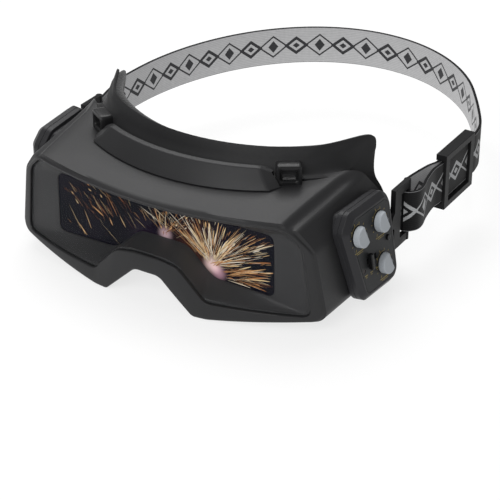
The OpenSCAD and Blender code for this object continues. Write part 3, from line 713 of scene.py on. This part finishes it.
def bezel_rings():
    """Closed rings of the funnel: from the lens opening in to the flat window, then back out behind it. The
    run between them is (1-w) opening + w window: a flat lip comes first, and then the slope down to the
    filter."""
    lip = [2.0, 2.4, 2.4, 2.0, 5.0, 6.0, 6.0]
    mouth = rounded(inset(whole(OPENING), 0.2), np.r_[OPENING_RADII, OPENING_RADII[::-1]])
    glass = rounded(whole(WINDOW), np.r_[lip, lip[::-1]])
    outside = rounded(inset(whole(WINDOW), -2.0), np.r_[lip, lip[::-1]])
    gap = np.linalg.norm(glass - mouth, axis=1)
    rings = [np.c_[mouth[:, 0], bow(mouth[:, 0]) + 3.2, mouth[:, 1]],
             np.c_[mouth[:, 0], bow(mouth[:, 0]) + COVER_BACK + 0.15, mouth[:, 1]]]
    start = bow(mouth[:, 0]) + COVER_BACK + 0.3
    for step, deep in ((0.6, 0.0), (1.5, 0.0), (1.9, 0.25)):
        w = np.minimum(step / gap, 0.4)[:, None]
        xz = mouth * (1 - w) + glass * w
        rings.append(np.c_[xz[:, 0], bow(xz[:, 0]) + COVER_BACK + 0.2 + deep, xz[:, 1]])
    lead = np.minimum(1.9 / gap, 0.4)
    for f in (0.12, 0.3, 0.5, 0.7, 0.88, 0.97):
        w = (lead + (1 - lead) * f)[:, None]
        xz = mouth * (1 - w) + glass * w
        rings.append(np.c_[xz[:, 0], start + (WINDOW_Y - 0.3 - start) * f, xz[:, 1]])
    for y in (WINDOW_Y, WINDOW_Y + 0.5):
        rings.append(np.c_[glass[:, 0], np.full(len(glass), y), glass[:, 1]])
    rings.append(np.c_[outside[:, 0], np.full(len(glass), WINDOW_Y + 0.5), outside[:, 1]])
    return rings


def inside(points, outline):
    """Which points lie within a closed outline: those whose ray along +x crosses its edges an odd number of
    times."""
    a, b = outline, np.roll(outline, -1, 0)
    x, z = points[..., 0, None], points[..., 1, None]
    spans = (a[:, 1] > z) != (b[:, 1] > z)
    rise = np.where(b[:, 1] == a[:, 1], 1e-9, b[:, 1] - a[:, 1])
    return (spans & (x < a[:, 0] + (z - a[:, 1]) / rise * (b[:, 0] - a[:, 0]))).sum(-1) % 2 == 1


def spark_reflection_streaks(count):
    """Centrelines, widths, heats and kinds of the painted spark reflections. Most fly out from three bursts:
    start + reach along an angle drawn from the burst's fan, bent a little by gravity. The rest drift across
    the far side.
    All are drawn from two seeded generators."""
    rng = np.random.default_rng(11)
    kinds = rng.choice(4, size=count * 2, p=[0.60, 0.12, 0.12, 0.16])
    centre = np.array([(30.5, 14.5), (0.5, 25.0), (37.0, 10.5), (-46.0, 36.0)])[kinds]
    low = np.radians(np.array([18.0, 30.0, -6.0, -72.0]))[kinds]
    high = np.radians(np.array([150.0, 140.0, 34.0, -30.0]))[kinds]
    angle = low + (high - low) * rng.random(len(kinds))
    reach = np.array([36, 16, 28, 0])[kinds]
    away = np.array([2.0, 1.0, 2.0, 0.0])[kinds] + rng.random(len(kinds)) ** 1.3 * reach
    scatter = rng.normal(0, 1, (len(kinds), 2)) * np.array([(1.4, 1.2), (1.6, 1.4), (2, 2), (19, 9.5)])[kinds]
    length = np.array([11.0, 6.0, 12.0, 7.5])[kinds] * (0.25 + rng.random(len(kinds)) ** 1.6 * 1.7)
    head = np.stack([np.cos(angle), np.sin(angle)], -1)
    start = centre + scatter + head * away[:, None]
    t = np.linspace(0, 1, 7)
    line = start[:, None] + head[:, None] * t[None, :, None] * length[:, None, None]
    line[..., 1] -= (t ** 2)[None, :] * (length ** 2 * 0.004)[:, None]
    # Keep what lies well inside the window
    keep = inside(line, inset(whole(WINDOW), 0.7)).all(1)
    line, kinds = line[keep][:count], kinds[keep][:count]
    kept = np.random.default_rng(5)
    heat = kept.random(len(line))
    width = 0.11 + 0.75 * kept.random(len(line)) ** 6
    return line, width, heat, kinds


def spark_reflection_piece(count):
    """Flat lens-shaped slivers just in front of the filter, which carry the painted spark reflections: each
    side runs half the width times sin(pi t)^0.6 from the line."""
    line, width, heat, kinds = spark_reflection_streaks(count)
    step = np.gradient(line, axis=1)
    side = np.stack([-step[..., 1], step[..., 0]], -1)
    side /= np.linalg.norm(side, axis=-1, keepdims=True)
    t = np.linspace(0, 1, line.shape[1])
    half = (0.03 + np.sin(np.pi * np.clip(t, 0.02, 0.98)) ** 0.6)[None, :, None] * width[:, None, None] / 2
    upper, lower = line + side * half, line - side * half
    n, m = line.shape[:2]
    # Each streak sits at its own small depth, so that crossing streaks never lie in one plane
    depth = WINDOW_Y + 0.56 - 0.18 * (np.arange(n) / max(n, 1))[:, None]
    both = [np.stack([e[..., 0], np.broadcast_to(depth, (n, m)), e[..., 1]], -1) for e in (upper, lower)]
    pts = np.stack(both, 2)
    base = np.arange(n)[:, None] * (m * 2) + np.arange(m - 1)[None, :] * 2
    quads = np.stack([base, base + 2, base + 3, base + 1], -1).reshape(-1, 4)
    # The heat of each streak and the way along it are its UVs
    level = np.clip(heat * 0.85 + np.array([0.30, 0.18, 0.15, -0.05])[kinds], 0.05, 1)
    uv = np.stack([np.broadcast_to(level[:, None, None], (n, m, 2)),
                   np.broadcast_to(t[None, :, None], (n, m, 2))], -1)
    return new_piece("spark_reflection_streaks", to_row(pts.reshape(-1, 3)), quads, uv=uv)


class GOGGLES_OT_window(bpy.types.Operator):
    """Builds the bezel, the coated filter with its mirrored sparks, and the clear cover lens"""
    bl_idname = "goggles.window"
    bl_label = "Window"

    def execute(self, context):
        look = context.scene.goggle_looks
        # Moulded ABS funnel, a shade lighter and smoother than the shell
        funnel = moulded("moulded_black_abs", look.bezel_colour, 0.36, bump=0.04, mottle=0.06)
        bezel = rings_piece("window_bezel", bezel_rings(), sharp=30)
        settle(bezel, "goggle", funnel, "bezel_black", "lens_bezel")
        finish_node("uv_ir_filter", dark_filter("coated_filter_glass", "#0b0e18", "#171420"))
        finish_node("outer_cover_lens", clear_plate("clear_polycarbonate_cover", "#17191c", 0.10))
        finish_node("inner_cover_lens", clear_plate("clear_polycarbonate_inner", "#26282c", 0.25))
        # Painted reflections of sparks on the filter, as slivers that give off their own light
        settle(spark_reflection_piece(look.spark_count), "goggle", spark_reflection_paint("painted_spark_reflection"), "dark_filter")
        return {"FINISHED"}


# ---- seal and foam ---------------------------------------------------------------------------

def polar(outline, count=720, centre=(0.0, 30.0)):
    """Distances from the centre to a closed outline along evenly spaced directions, and those directions."""
    p = outline - np.array(centre)
    a, r = np.arctan2(p[:, 1], p[:, 0]), np.hypot(p[:, 0], p[:, 1])
    order = np.argsort(a)
    want = np.linspace(-math.pi, math.pi, count, endpoint=False)
    return want, np.interp(want, a[order], r[order], period=2 * math.pi)


def ease(v, low, high):
    """3t^2 - 2t^3, with t the share of the way from low to high."""
    t = np.clip((v - low) / (high - low), 0, 1)
    return t * t * (3 - 2 * t)


def seal_ring(distance, directions, r, centre=(0.0, 30.0)):
    """Points at those distances along the directions, set back onto the cylinder of radius r about the head
    axis. The flange's top corners sweep back towards the temples, by TIP_SWEEP times an ease across and an
    ease up."""
    x = centre[0] + distance * np.cos(directions)
    z = centre[1] + distance * np.sin(directions)
    sweep = TIP_SWEEP * ease(np.abs(x), 64, 84) * ease(z, 48, 72) * np.clip((106.5 - r) / 3.5, 0, 1)
    return np.c_[x, round_y(r, x) + sweep, z]


def flange_outline():
    """The flange's outline, its chamfered top corners filled out to rounded tips."""
    half = [(84.2, 73.6), (86.4, 52), (90.5, 38), *FLANGE[3:]]
    radii = [4.5, 8, 12, 10, 10, 12, 8, 8]
    return rounded(whole(half), radii + radii[::-1], arc=12, edge=30)


def seal_rings():
    """Closed rings of the seal: out of the shell's back edge, up a slope, round a concave fold, out to the
    lip of the flange, round the lip and back along the face side."""
    base = rounded(inset(whole(SHELL_REAR), 2.0), 6.0, edge=30)
    lip = flange_outline()
    ways, start = polar(base)
    _, end = polar(lip)
    end = np.convolve(np.r_[end[-6:], end, end[:6]], np.ones(3) / 3, "same")[6:-6]
    start = np.convolve(np.r_[start[-4:], start, start[:4]], np.ones(5) / 5, "same")[4:-4]
    fold = end - 6.0 - np.clip((start - end) * 0.1, -1, 2)
    rings = []
    for f, r in ((0.0, 113.5), (0.0, 110.5), (0.12, 109.2), (0.55, 106.2), (0.9, 104.3)):
        rings.append(seal_ring(start * (1 - f) + (fold - 1.0) * f, ways, r))
    for out, r in ((0.6, 103.5), (1.9, 102.9), (3.5, 102.3), (4.9, 101.7), (5.6, 101.2)):
        rings.append(seal_ring(fold + out, ways, r))
    for out, r in ((0.0, 100.7), (-0.1, 100.3), (-0.8, 100.0)):
        rings.append(seal_ring(end + out, ways, r))
    for deep, r in ((6.0, 100.0), (12.0, 100.0), (13.0, 100.5), (13.0, 102.2)):
        rings.append(seal_ring(end - deep, ways, r))
    rings.append(seal_ring(np.minimum(end - 11.0, start - 5.0), ways, 106.0))
    rings.append(seal_ring(start - 5.0, ways, 113.5))
    return rings


def foam_rings():
    """Closed rings of the face pad: a soft section, flat on the flange and crowned towards the face,
    carried round the flange's outline."""
    lip = flange_outline()
    ways, end = polar(lip)
    end = np.convolve(np.r_[end[-6:], end, end[:6]], np.ones(3) / 3, "same")[6:-6]
    section = [(2.2, 99.9), (2.0, 98.6), (2.3, 97.2), (3.4, 96.0), (5.2, 95.2), (8.0, 94.9), (10.8, 95.2),
               (12.6, 96.0), (13.7, 97.2), (14.0, 98.6), (13.8, 99.9), (8.0, 99.9)]
    return [seal_ring(end - deep, ways, r) for deep, r in section]


class GOGGLES_OT_seal(bpy.types.Operator):
    """Builds the rubber face seal and the foam pad behind it"""
    bl_idname = "goggles.seal"
    bl_label = "Face seal"

    def execute(self, context):
        look = context.scene.goggle_looks
        # Thermoplastic rubber: dark, matt, with a soft sheen at grazing angles
        rubber = moulded("moulded_thermoplastic_rubber", look.seal_colour, 0.55, bump=0.05, mottle=0.08)
        seal = rings_piece("rubber_seal", seal_rings(), sharp=50)
        settle(seal, "goggle", rubber, "seal_rubber", "face_seal", "seal_frame")
        pad = rings_piece("face_pad", foam_rings(), sharp=60)
        settle(pad, "goggle", open_foam("open_cell_foam", "#242425"), "face_foam", "face_foam")
        return {"FINISHED"}


# ---- pods ------------------------------------------------------------------------------------

def pod_rings(side):
    """Rings of a pod case, each the pod outline grown by an amount at height z: up the wall from the shell,
    past the seam, over the chamfer, round the edge and down into the recess that holds the panel."""
    corner = np.array([1.8, 2.0, 2.0, 2.6, 2.6, 2.0, 1.4, 1.4])
    rings = []
    for grow, z in ((1.0, -15.0), (1.0, -9.4), (1.1, -9.2), (2.8, -8.7), (3.0, -8.5), (3.0, -5.9),
                    (2.75, -5.75), (2.75, -5.45), (3.0, -5.3), (3.0, -2.9), (2.9, -2.65), (0.35, -0.25),
                    (0.15, -0.08), (-0.1, 0.0), (-0.9, 0.0), (-1.1, -0.06), (-1.18, -0.25), (-1.25, -1.6),
                    (-2.2, -1.7), (-2.2, -15.0)):
        xy = rounded(inset(POD_OUTLINE, -grow), corner + grow * 0.3, arc=7, edge=6)
        rings.append(pod_points(np.c_[xy, np.full(len(xy), z)], side))
    return rings


def knob_rings(spot):
    """Rings of a knob from its foot to the middle of its top. The wall steps in wherever it would pass a
    plane that leans across one side, and the top's rings drop to that plane, past a small fillet."""
    a = np.linspace(0, 2 * math.pi, 97)[:-1]
    across, beside = math.cos(KNOB_TURN), math.sin(KNOB_TURN)
    rings = []
    for r, z in ((KNOB_R - 0.1, 0.42), (KNOB_R, 0.6), (KNOB_R, 1.2), (KNOB_R, 2.0), (KNOB_R, 2.8),
                 (KNOB_R, KNOB_H - 0.3), (KNOB_R - 0.12, KNOB_H - 0.05), (KNOB_R - 0.4, KNOB_H + 0.1)):
        x, y = r * np.cos(a), r * np.sin(a)
        cut = x * across + y * beside - (KNOB_R - KNOB_FLAT - (z - 0.5) * KNOB_LEAN)
        cut = np.clip(cut, 0, 3.0)
        rings.append(np.c_[x - cut * across, y - cut * beside, np.full_like(x, z)])
    top = KNOB_H + 0.12
    for f in (0.86, 0.78, 0.7, 0.62, 0.54, 0.46, 0.36, 0.24, 0.12, 0.01):
        x, y = KNOB_R * f * np.cos(a), KNOB_R * f * np.sin(a)
        plane = (KNOB_R - KNOB_FLAT - x * across - y * beside) / KNOB_LEAN + 0.5
        gap = plane - top
        low = np.where(gap < -0.35, plane, top - np.clip(0.35 - gap, 0, None) ** 2 / 1.4)
        rings.append(np.c_[x, y, np.maximum(low, 0.42)])
    return [pod_points(ring + (*spot, 0)) for ring in rings]


def strip_set(strips):
    """Points and quads of flat printed strips: each is a run of points with a width, laid just over the
    panel."""
    points, faces, base = [], [], 0
    for line, width in strips:
        line = np.asarray(line, float)
        step = np.gradient(line, axis=0)
        side = np.c_[-step[:, 1], step[:, 0]]
        side /= np.linalg.norm(side, axis=1)[:, None]
        both = np.stack([line + side * width / 2, line - side * width / 2], 1).reshape(-1, 2)
        points.append(both)
        n = len(line)
        k = base + np.arange(n - 1) * 2
        faces.append(np.stack([k, k + 2, k + 3, k + 1], -1))
        base += 2 * n
    return np.vstack(points), np.vstack(faces)


def panel_prints():
    """Generic dial marks: an arc of ticks round each knob, a rule under it, and short bars beside the
    lever."""
    strips = []
    for x, y in KNOB_SPOTS.values():
        for k in range(9):
            a = math.radians(18 + 90 + 135 - k * 33.75)
            ends = np.array([[7.0], [7.9 if k % 4 else 8.5]])
            tick = np.array([[math.cos(a), math.sin(a)]]) * ends + (x, y)
            strips.append((tick, 0.34))
        a = np.radians(np.linspace(70, 160, 14))
        strips.append((np.c_[x + 6.7 * np.cos(a), y + 6.7 * np.sin(a)], 0.22))
        strips.append((np.array([[x - 5.0, y - 8.4], [x + 3.6, y - 8.4]]), 0.42))
        strips.append((np.array([[x - 3.4, y - 9.4], [x + 2.4, y - 9.4]]), 0.30))
    for x in (LEVER_SPOT[0] - 3.6, LEVER_SPOT[0] + 1.5, LEVER_SPOT[0] + 7.2):
        strips.append((np.array([[x - 1.4, -11.6], [x + 1.2, -11.6]]), 0.40))
        strips.append((np.array([[x - 1.0, -12.7], [x + 0.8, -12.7]]), 0.28))
    xy, faces = strip_set(strips)
    world = pod_points(np.c_[xy, np.full(len(xy), 0.04)])
    return world, faces


class GOGGLES_OT_pods(bpy.types.Operator):
    """Builds the control pod with its panel, knobs and lever, and the battery pod with its cover"""
    bl_idname = "goggles.pods"
    bl_label = "Side pods"

    def execute(self, context):
        look = context.scene.goggle_looks
        round_mm = look.edge_round / MM
        # ABS pod cases: a little lighter than the shell and as satin, so that their seam and chamfer show
        case = moulded("textured_black_abs", "#29292b", 0.40, bump=0.07, mottle=0.06)
        for side, name, node in ((1.0, "control_pod_case", "control_pod_base"),
                                 (-1.0, "battery_pod_case", "battery_pod_base")):
            piece = rings_piece(name, pod_rings(side), sharp=21)
            settle(piece, "goggle", case, "pod_black", node)
        # ABS panels: matt, so that the prints and knobs stand out
        panel = moulded("matt_black_abs_panel", "#262728", 0.5, bump=0.06, mottle=0.06)
        finish_node("control_panel", panel)
        world, faces = panel_prints()
        prints = new_piece("panel_scales", to_row(world), faces)
        # Pad-printed ink: dull gold, matt, and a little uneven
        ink = moulded("dull_gold_ink", "#94834f", 0.6, bump=0.0, mottle=0.2)
        settle(prints, "goggle", ink, "panel_black")
        # Polyamide knobs: pale satin grey, the lightest things on the pod
        grey = moulded("satin_grey_polyamide", look.knob_colour, 0.38, bump=0.03, mottle=0.04)
        for node, spot in KNOB_SPOTS.items():
            rings = knob_rings(spot)
            knob = rings_piece(node + "_cap", rings, closed=False, sharp=24)
            settle(knob, node + "_body", grey, "knob_grey", node)
        # Acetal lever and button: glossy black against the matt panel
        gloss = moulded("glossy_black_acetal", "#0d0d0e", 0.25, bump=0.02, mottle=0.05)
        settle(softened("mode_lever_cap", "mode_lever", round_mm * 1.2, 3), "mode_lever_body", gloss,
               "button_black", "mode_lever")
        settle(softened("test_button_cap", "test_button", round_mm * 0.8, 3), "test_button_body", gloss,
               "button_black", "test_button")
        settle(softened("battery_lid", "battery_cover", round_mm * 0.7, 2), "battery_cover_body", panel,
               "pod_black", "battery_cover")
        return {"FINISHED"}


# ---- strap -----------------------------------------------------------------------------------

def smooth_path(points, steps=14):
    """A Catmull-Rom curve through plan points: 0.5 (2b + (c-a) t + (2a-5b+4c-d) t^2 + (3b-a-3c+d) t^3)."""
    p = np.asarray(points, float)
    a, b, c, d = p[np.r_[0, 0:len(p) - 2]], p[:-1], p[1:], p[np.r_[2:len(p), len(p) - 1]]
    t = np.linspace(0, 1, steps, endpoint=False)[None, :, None]
    a, b, c, d = (v[:, None] for v in (a, b, c, d))
    run = 0.5 * (2 * b + (c - a) * t + (2 * a - 5 * b + 4 * c - d) * t ** 2
                 + (3 * b - a - 3 * c + d) * t ** 3)
    return np.vstack([run.reshape(-1, 2), p[-1:]])


def strap_plan():
    """The strap's plan path: round the right bar, through the slider, round the head and round the left
    bar."""
    sx, sy = SLIDER
    right = [(BAR_X + 3.2, BAR_Y - 1.6), (BAR_X + 5.8, BAR_Y + 2.5), (BAR_X + 5.8, BAR_Y + 8),
             (BAR_X + 3.6, BAR_Y + 17), (sx - 0.6, sy - 27), (sx, sy - 18), (sx, sy), (sx, sy + 18),
             (sx - 0.3, sy + 28), (sx - 4.6, sy + 42)]
    x0, y0, rx, ry = LOOP
    back = [(x0 + rx * math.cos(math.radians(a)), y0 + ry * math.sin(math.radians(a)))
            for a in range(36, 181, 12)]
    left = [(-BAR_X - 9.5, BAR_Y + 33), (-BAR_X - 7.5, BAR_Y + 20), (-BAR_X - 4, BAR_Y + 5)]
    wrap = [(-(BAR_X + WRAP_R * math.cos(math.radians(a))), BAR_Y + WRAP_R * math.sin(math.radians(a)))
            for a in (0, -60, -120, -180)]
    end = [(-BAR_X + 1.2, BAR_Y + 6), (-BAR_X - 1, BAR_Y + 13), (-BAR_X - 4.6, BAR_Y + 20)]
    return smooth_path([(BAR_X, BAR_Y - WRAP_R), *right, *back, *left, *wrap, *end])


def return_plan():
    """The plan path of the strap's short end, from the bar back inside the strap to the slider's middle
    bar."""
    sx, sy = SLIDER
    return smooth_path([(BAR_X - 0.6, BAR_Y - WRAP_R), (BAR_X - WRAP_R + 0.4, BAR_Y - 1),
                        (BAR_X - 5, BAR_Y + 5), (BAR_X - 5.6, BAR_Y + 13), (BAR_X - 3, BAR_Y + 30),
                        (sx - 2.8, sy - 17), (sx - 4.4, sy - 8), (sx - 5.2, sy)])


def ribbon(name, plan, thick, first, turned=False):
    """Webbing along a plan path. The section at each point is a flat loop, half the thickness on each side
    of the path and rounded at its edges. UVs hold the distance along the path and across the webbing, in
    metres."""
    step = np.gradient(plan, axis=0)
    side = np.c_[-step[:, 1], step[:, 0]]
    side /= np.linalg.norm(side, axis=1)[:, None]
    run = np.r_[0, np.cumsum(np.linalg.norm(np.diff(plan, axis=0), axis=1))] + first
    flat, lip = STRAP_H / 2 - 0.3, STRAP_H / 2 - 0.05
    v = np.concatenate([np.linspace(-flat, flat, FLAT_POINTS), [lip, lip],
                        np.linspace(flat, -flat, FLAT_POINTS), [-lip, -lip]])
    w = thick * np.concatenate([np.full(FLAT_POINTS, 0.5), [0.25, -0.25],
                                np.full(FLAT_POINTS, -0.5), [-0.25, 0.25]])
    grid = np.stack([plan[:, None, 0] + side[:, None, 0] * w, plan[:, None, 1] + side[:, None, 1] * w,
                     np.broadcast_to(PIVOT_Z + v, (len(plan), len(v)))], -1)
    n, m = grid.shape[:2]
    uv = MM * np.stack([np.broadcast_to(run[:, None], (n, m)), np.broadcast_to(v, (n, m))], -1)
    faces = grid_faces(n, m, False, True)
    piece = new_piece(name, to_row(grid), faces, end_caps(n, m), uv=uv, sharp=50)
    # The face on the path's left takes the inside material, or the outside one where the webbing is folded
    # back on itself; the edges take the third
    column = np.tile(np.arange(m), n - 1)
    left = column < FLAT_POINTS - 1
    right = (column >= FLAT_POINTS + 2) & (column < 2 * FLAT_POINTS + 1)
    kind = np.select([left, right], [0 if turned else 1, 1 if turned else 0], 2)
    piece.data.polygons.foreach_set("material_index", np.r_[kind, 2, 2].astype(np.int32))
    return piece


class GOGGLES_OT_strap(bpy.types.Operator):
    """Builds the elastic strap, its brackets and the three-bar slider"""
    bl_idname = "goggles.strap"
    bl_label = "Head strap"

    def execute(self, context):
        look = context.scene.goggle_looks
        # Webbing: black outside and pale inside, with matt selvedges
        outer = webbing("woven_elastic_outside", look.strap_out_colour, "#a9aaab", "#8c8c8e", look)
        inner = webbing("woven_elastic_inside", look.strap_in_colour, "#3a3a3c", "#8e8e90", look)
        edge = moulded("woven_elastic_edge", "#1a1a1b", 0.9, bump=0.3, mottle=0.2, specular=0.2)
        main = ribbon("strap_webbing_long", strap_plan(), STRAP_T, 0.0)
        short = ribbon("strap_webbing_short", return_plan(), STRAP_T, 4.0, turned=True)
        for piece in (main, short):
            for material in (outer, inner, edge):
                piece.data.materials.append(material)
        settle(main, "strap_set", None, "strap_webbing", "strap_main")
        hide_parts("strap_return")
        def y(v):
            return float(to_row((BAR_X, v, PIVOT_Z))[1])

        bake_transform(short)
        # Acetal buckles: harder and a little shinier than the shell
        acetal = moulded("moulded_black_acetal", "#1c1c1d", 0.38, bump=0.03, mottle=0.05, specular=0.08)
        for side in ("right", "left"):
            node = "strap_bracket_" + side
            settle(softened(node + "_moulding", node, look.edge_round / MM, 3), "strap_set", acetal,
                   "buckle_black", node)
        slider = softened("slider_moulding", "strap_slider", look.edge_round / MM * 1.2, 3)
        settle(slider, "strap_slider_body", acetal, "buckle_black", "strap_slider")
        return {"FINISHED"}


# ---- inner parts -----------------------------------------------------------------------------

class GOGGLES_OT_inside(bpy.types.Operator):
    """Gives the parts inside the goggles and the pods their finishes"""
    bl_idname = "goggles.inside"
    bl_label = "Inner parts"

    def execute(self, context):
        # Plain black housings that nothing inside should outshine, a green board, and bright or warm metal,
        # film and wire against them; the glasses are nearly opaque, because they lie behind the filter
        dull = moulded("dull_black_abs", "#1b1c1d", 0.6, bump=0.05)
        green = moulded("solder_masked_board", "#174a2e", 0.35, grain=2.0, bump=0.05, mottle=0.2)
        steel = metal("stainless_cell_steel", "#b9bcc0", 0.28)
        zinc = metal("blackened_screw_steel", "#55575a", 0.4)
        brass = metal("plated_contact_brass", "#c9a86a", 0.3)
        film = moulded("amber_polyimide_film", "#8a5420", 0.3, grain=3.0, bump=0.02, mottle=0.15)
        red = moulded("red_pvc_lead", "#7a1d1d", 0.4, bump=0.03)
        lens = moulded("smoked_led_epoxy", "#1c0c0c", 0.15, bump=0.0, mottle=0.1)
        glass = clear_plate("liquid_crystal_glass", "#141926", 0.96)
        back = clear_plate("back_filter_glass", "#1c2230", 0.96)
        pot = moulded("grey_phenolic", "#3c4046", 0.5)
        for nodes, material in (
                (("filter_housing", "inner_lens_frame", "seal_hooks", "slide_switch_body", "tact_switch",
                  "arc_sensors"), dull),
                (("filter_board", "control_board"), green), (("coin_cells",), steel),
                (("control_pod_screws", "battery_pod_screws"), zinc), (("battery_contacts",), brass),
                (("flex_cable",), film), (("battery_lead",), red), (("status_led",), lens),
                (("lcd_cell",), glass), (("back_glass",), back), (("potentiometers",), pot)):
            for node in nodes:
                finish_node(node, material)
        return {"FINISHED"}


# ---- stage -----------------------------------------------------------------------------------

def area_light(name, at, aim, size, power, colour="#ffffff"):
    """A square soft light at a point, aimed at another."""
    data = bpy.data.lights.new(name, "AREA")
    data.energy = power
    data.size = size
    data.color = linear(colour)
    lamp = bpy.data.objects.new(name, data)
    lamp.location = at
    lamp.rotation_euler = (Vector(aim) - Vector(at)).to_track_quat("-Z", "Y").to_euler()
    bpy.context.scene.collection.objects.link(lamp)


class GOGGLES_OT_stage(bpy.types.Operator):
    """Adds the pale floor, the soft studio light and the camera"""
    bl_idname = "goggles.stage"
    bl_label = "Stage"

    def execute(self, context):
        scene = context.scene
        low = CAD_BOX[0]
        floor = new_piece("studio_floor", np.array([(-9, -9, low.z - 0.0003), (9, -9, low.z - 0.0003),
                                                    (9, 9, low.z - 0.0003), (-9, 9, low.z - 0.0003)]),
                          np.array([[0, 1, 2, 3]]))
        # Paper: it gives its own light too, so that it stays white under the soft lamps
        paper, _, shader, _ = new_material("matt_white_paper")
        shader.inputs["Base Color"].default_value = rgba("#8c8c8c")
        shader.inputs["Roughness"].default_value = 1.0
        shader.inputs["Specular IOR Level"].default_value = 0.0
        shader.inputs["Emission Color"].default_value = (1, 1, 1, 1)
        shader.inputs["Emission Strength"].default_value = 0.74
        floor.data.materials.append(paper)
        world = bpy.data.worlds.new("studio")
        scene.world = world
        world.use_nodes = True
        world.node_tree.nodes["Background"].inputs["Color"].default_value = rgba("#ffffff")
        world.node_tree.nodes["Background"].inputs["Strength"].default_value = 0.30
        middle = (0.0, FRONT_Y + 0.06, 0.03)
        area_light("overhead_soft", (-0.30, FRONT_Y + 0.42, 0.85), middle, 0.8, 7.8)
        area_light("front_fill", (0.15, FRONT_Y - 0.9, 0.75), middle, 0.7, 8.0)
        camera = bpy.data.objects.new("camera", bpy.data.cameras.new("camera"))
        camera.data.lens = 129.6
        camera.data.sensor_width = 36.0
        camera.data.clip_start = 0.05
        camera.data.clip_end = 50.0
        camera.location = to_row((481.0, -680.0, 503.9))
        camera.rotation_euler = (math.radians(60.0), 0.0, math.radians(31.4))
        scene.collection.objects.link(camera)
        scene.camera = camera
        scene.view_settings.view_transform = "Standard"
        return {"FINISHED"}


# ---- add-on ----------------------------------------------------------------------------------

class GOGGLES_PT_panel(bpy.types.Panel):
    """Lists what can be built and changed"""
    bl_idname = "GOGGLES_PT_panel"
    bl_label = "Welding goggles"
    bl_space_type = "VIEW_3D"
    bl_region_type = "UI"
    bl_category = "Goggles"

    def draw(self, context):
        look = context.scene.goggle_looks
        for key in GoggleLooks.__annotations__:
            self.layout.prop(look, key)
        for operator in OPERATORS:
            self.layout.operator(operator.bl_idname)


OPERATORS = (GOGGLES_OT_shell, GOGGLES_OT_hood, GOGGLES_OT_window, GOGGLES_OT_seal, GOGGLES_OT_pods,
             GOGGLES_OT_strap, GOGGLES_OT_inside, GOGGLES_OT_stage)
CLASSES = (GoggleLooks, *OPERATORS, GOGGLES_PT_panel)


def register():
    for cls in CLASSES:
        bpy.utils.register_class(cls)
    bpy.types.Scene.goggle_looks = PointerProperty(type=GoggleLooks)


def unregister():
    del bpy.types.Scene.goggle_looks
    for cls in reversed(CLASSES):
        bpy.utils.unregister_class(cls)


def main():
    register()
    bpy.ops.goggles.shell()
    bpy.ops.goggles.hood()
    bpy.ops.goggles.window()
    bpy.ops.goggles.seal()
    bpy.ops.goggles.pods()
    bpy.ops.goggles.strap()
    bpy.ops.goggles.inside()
    bpy.ops.goggles.stage()
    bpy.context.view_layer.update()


if __name__ == "__main__":
    main()
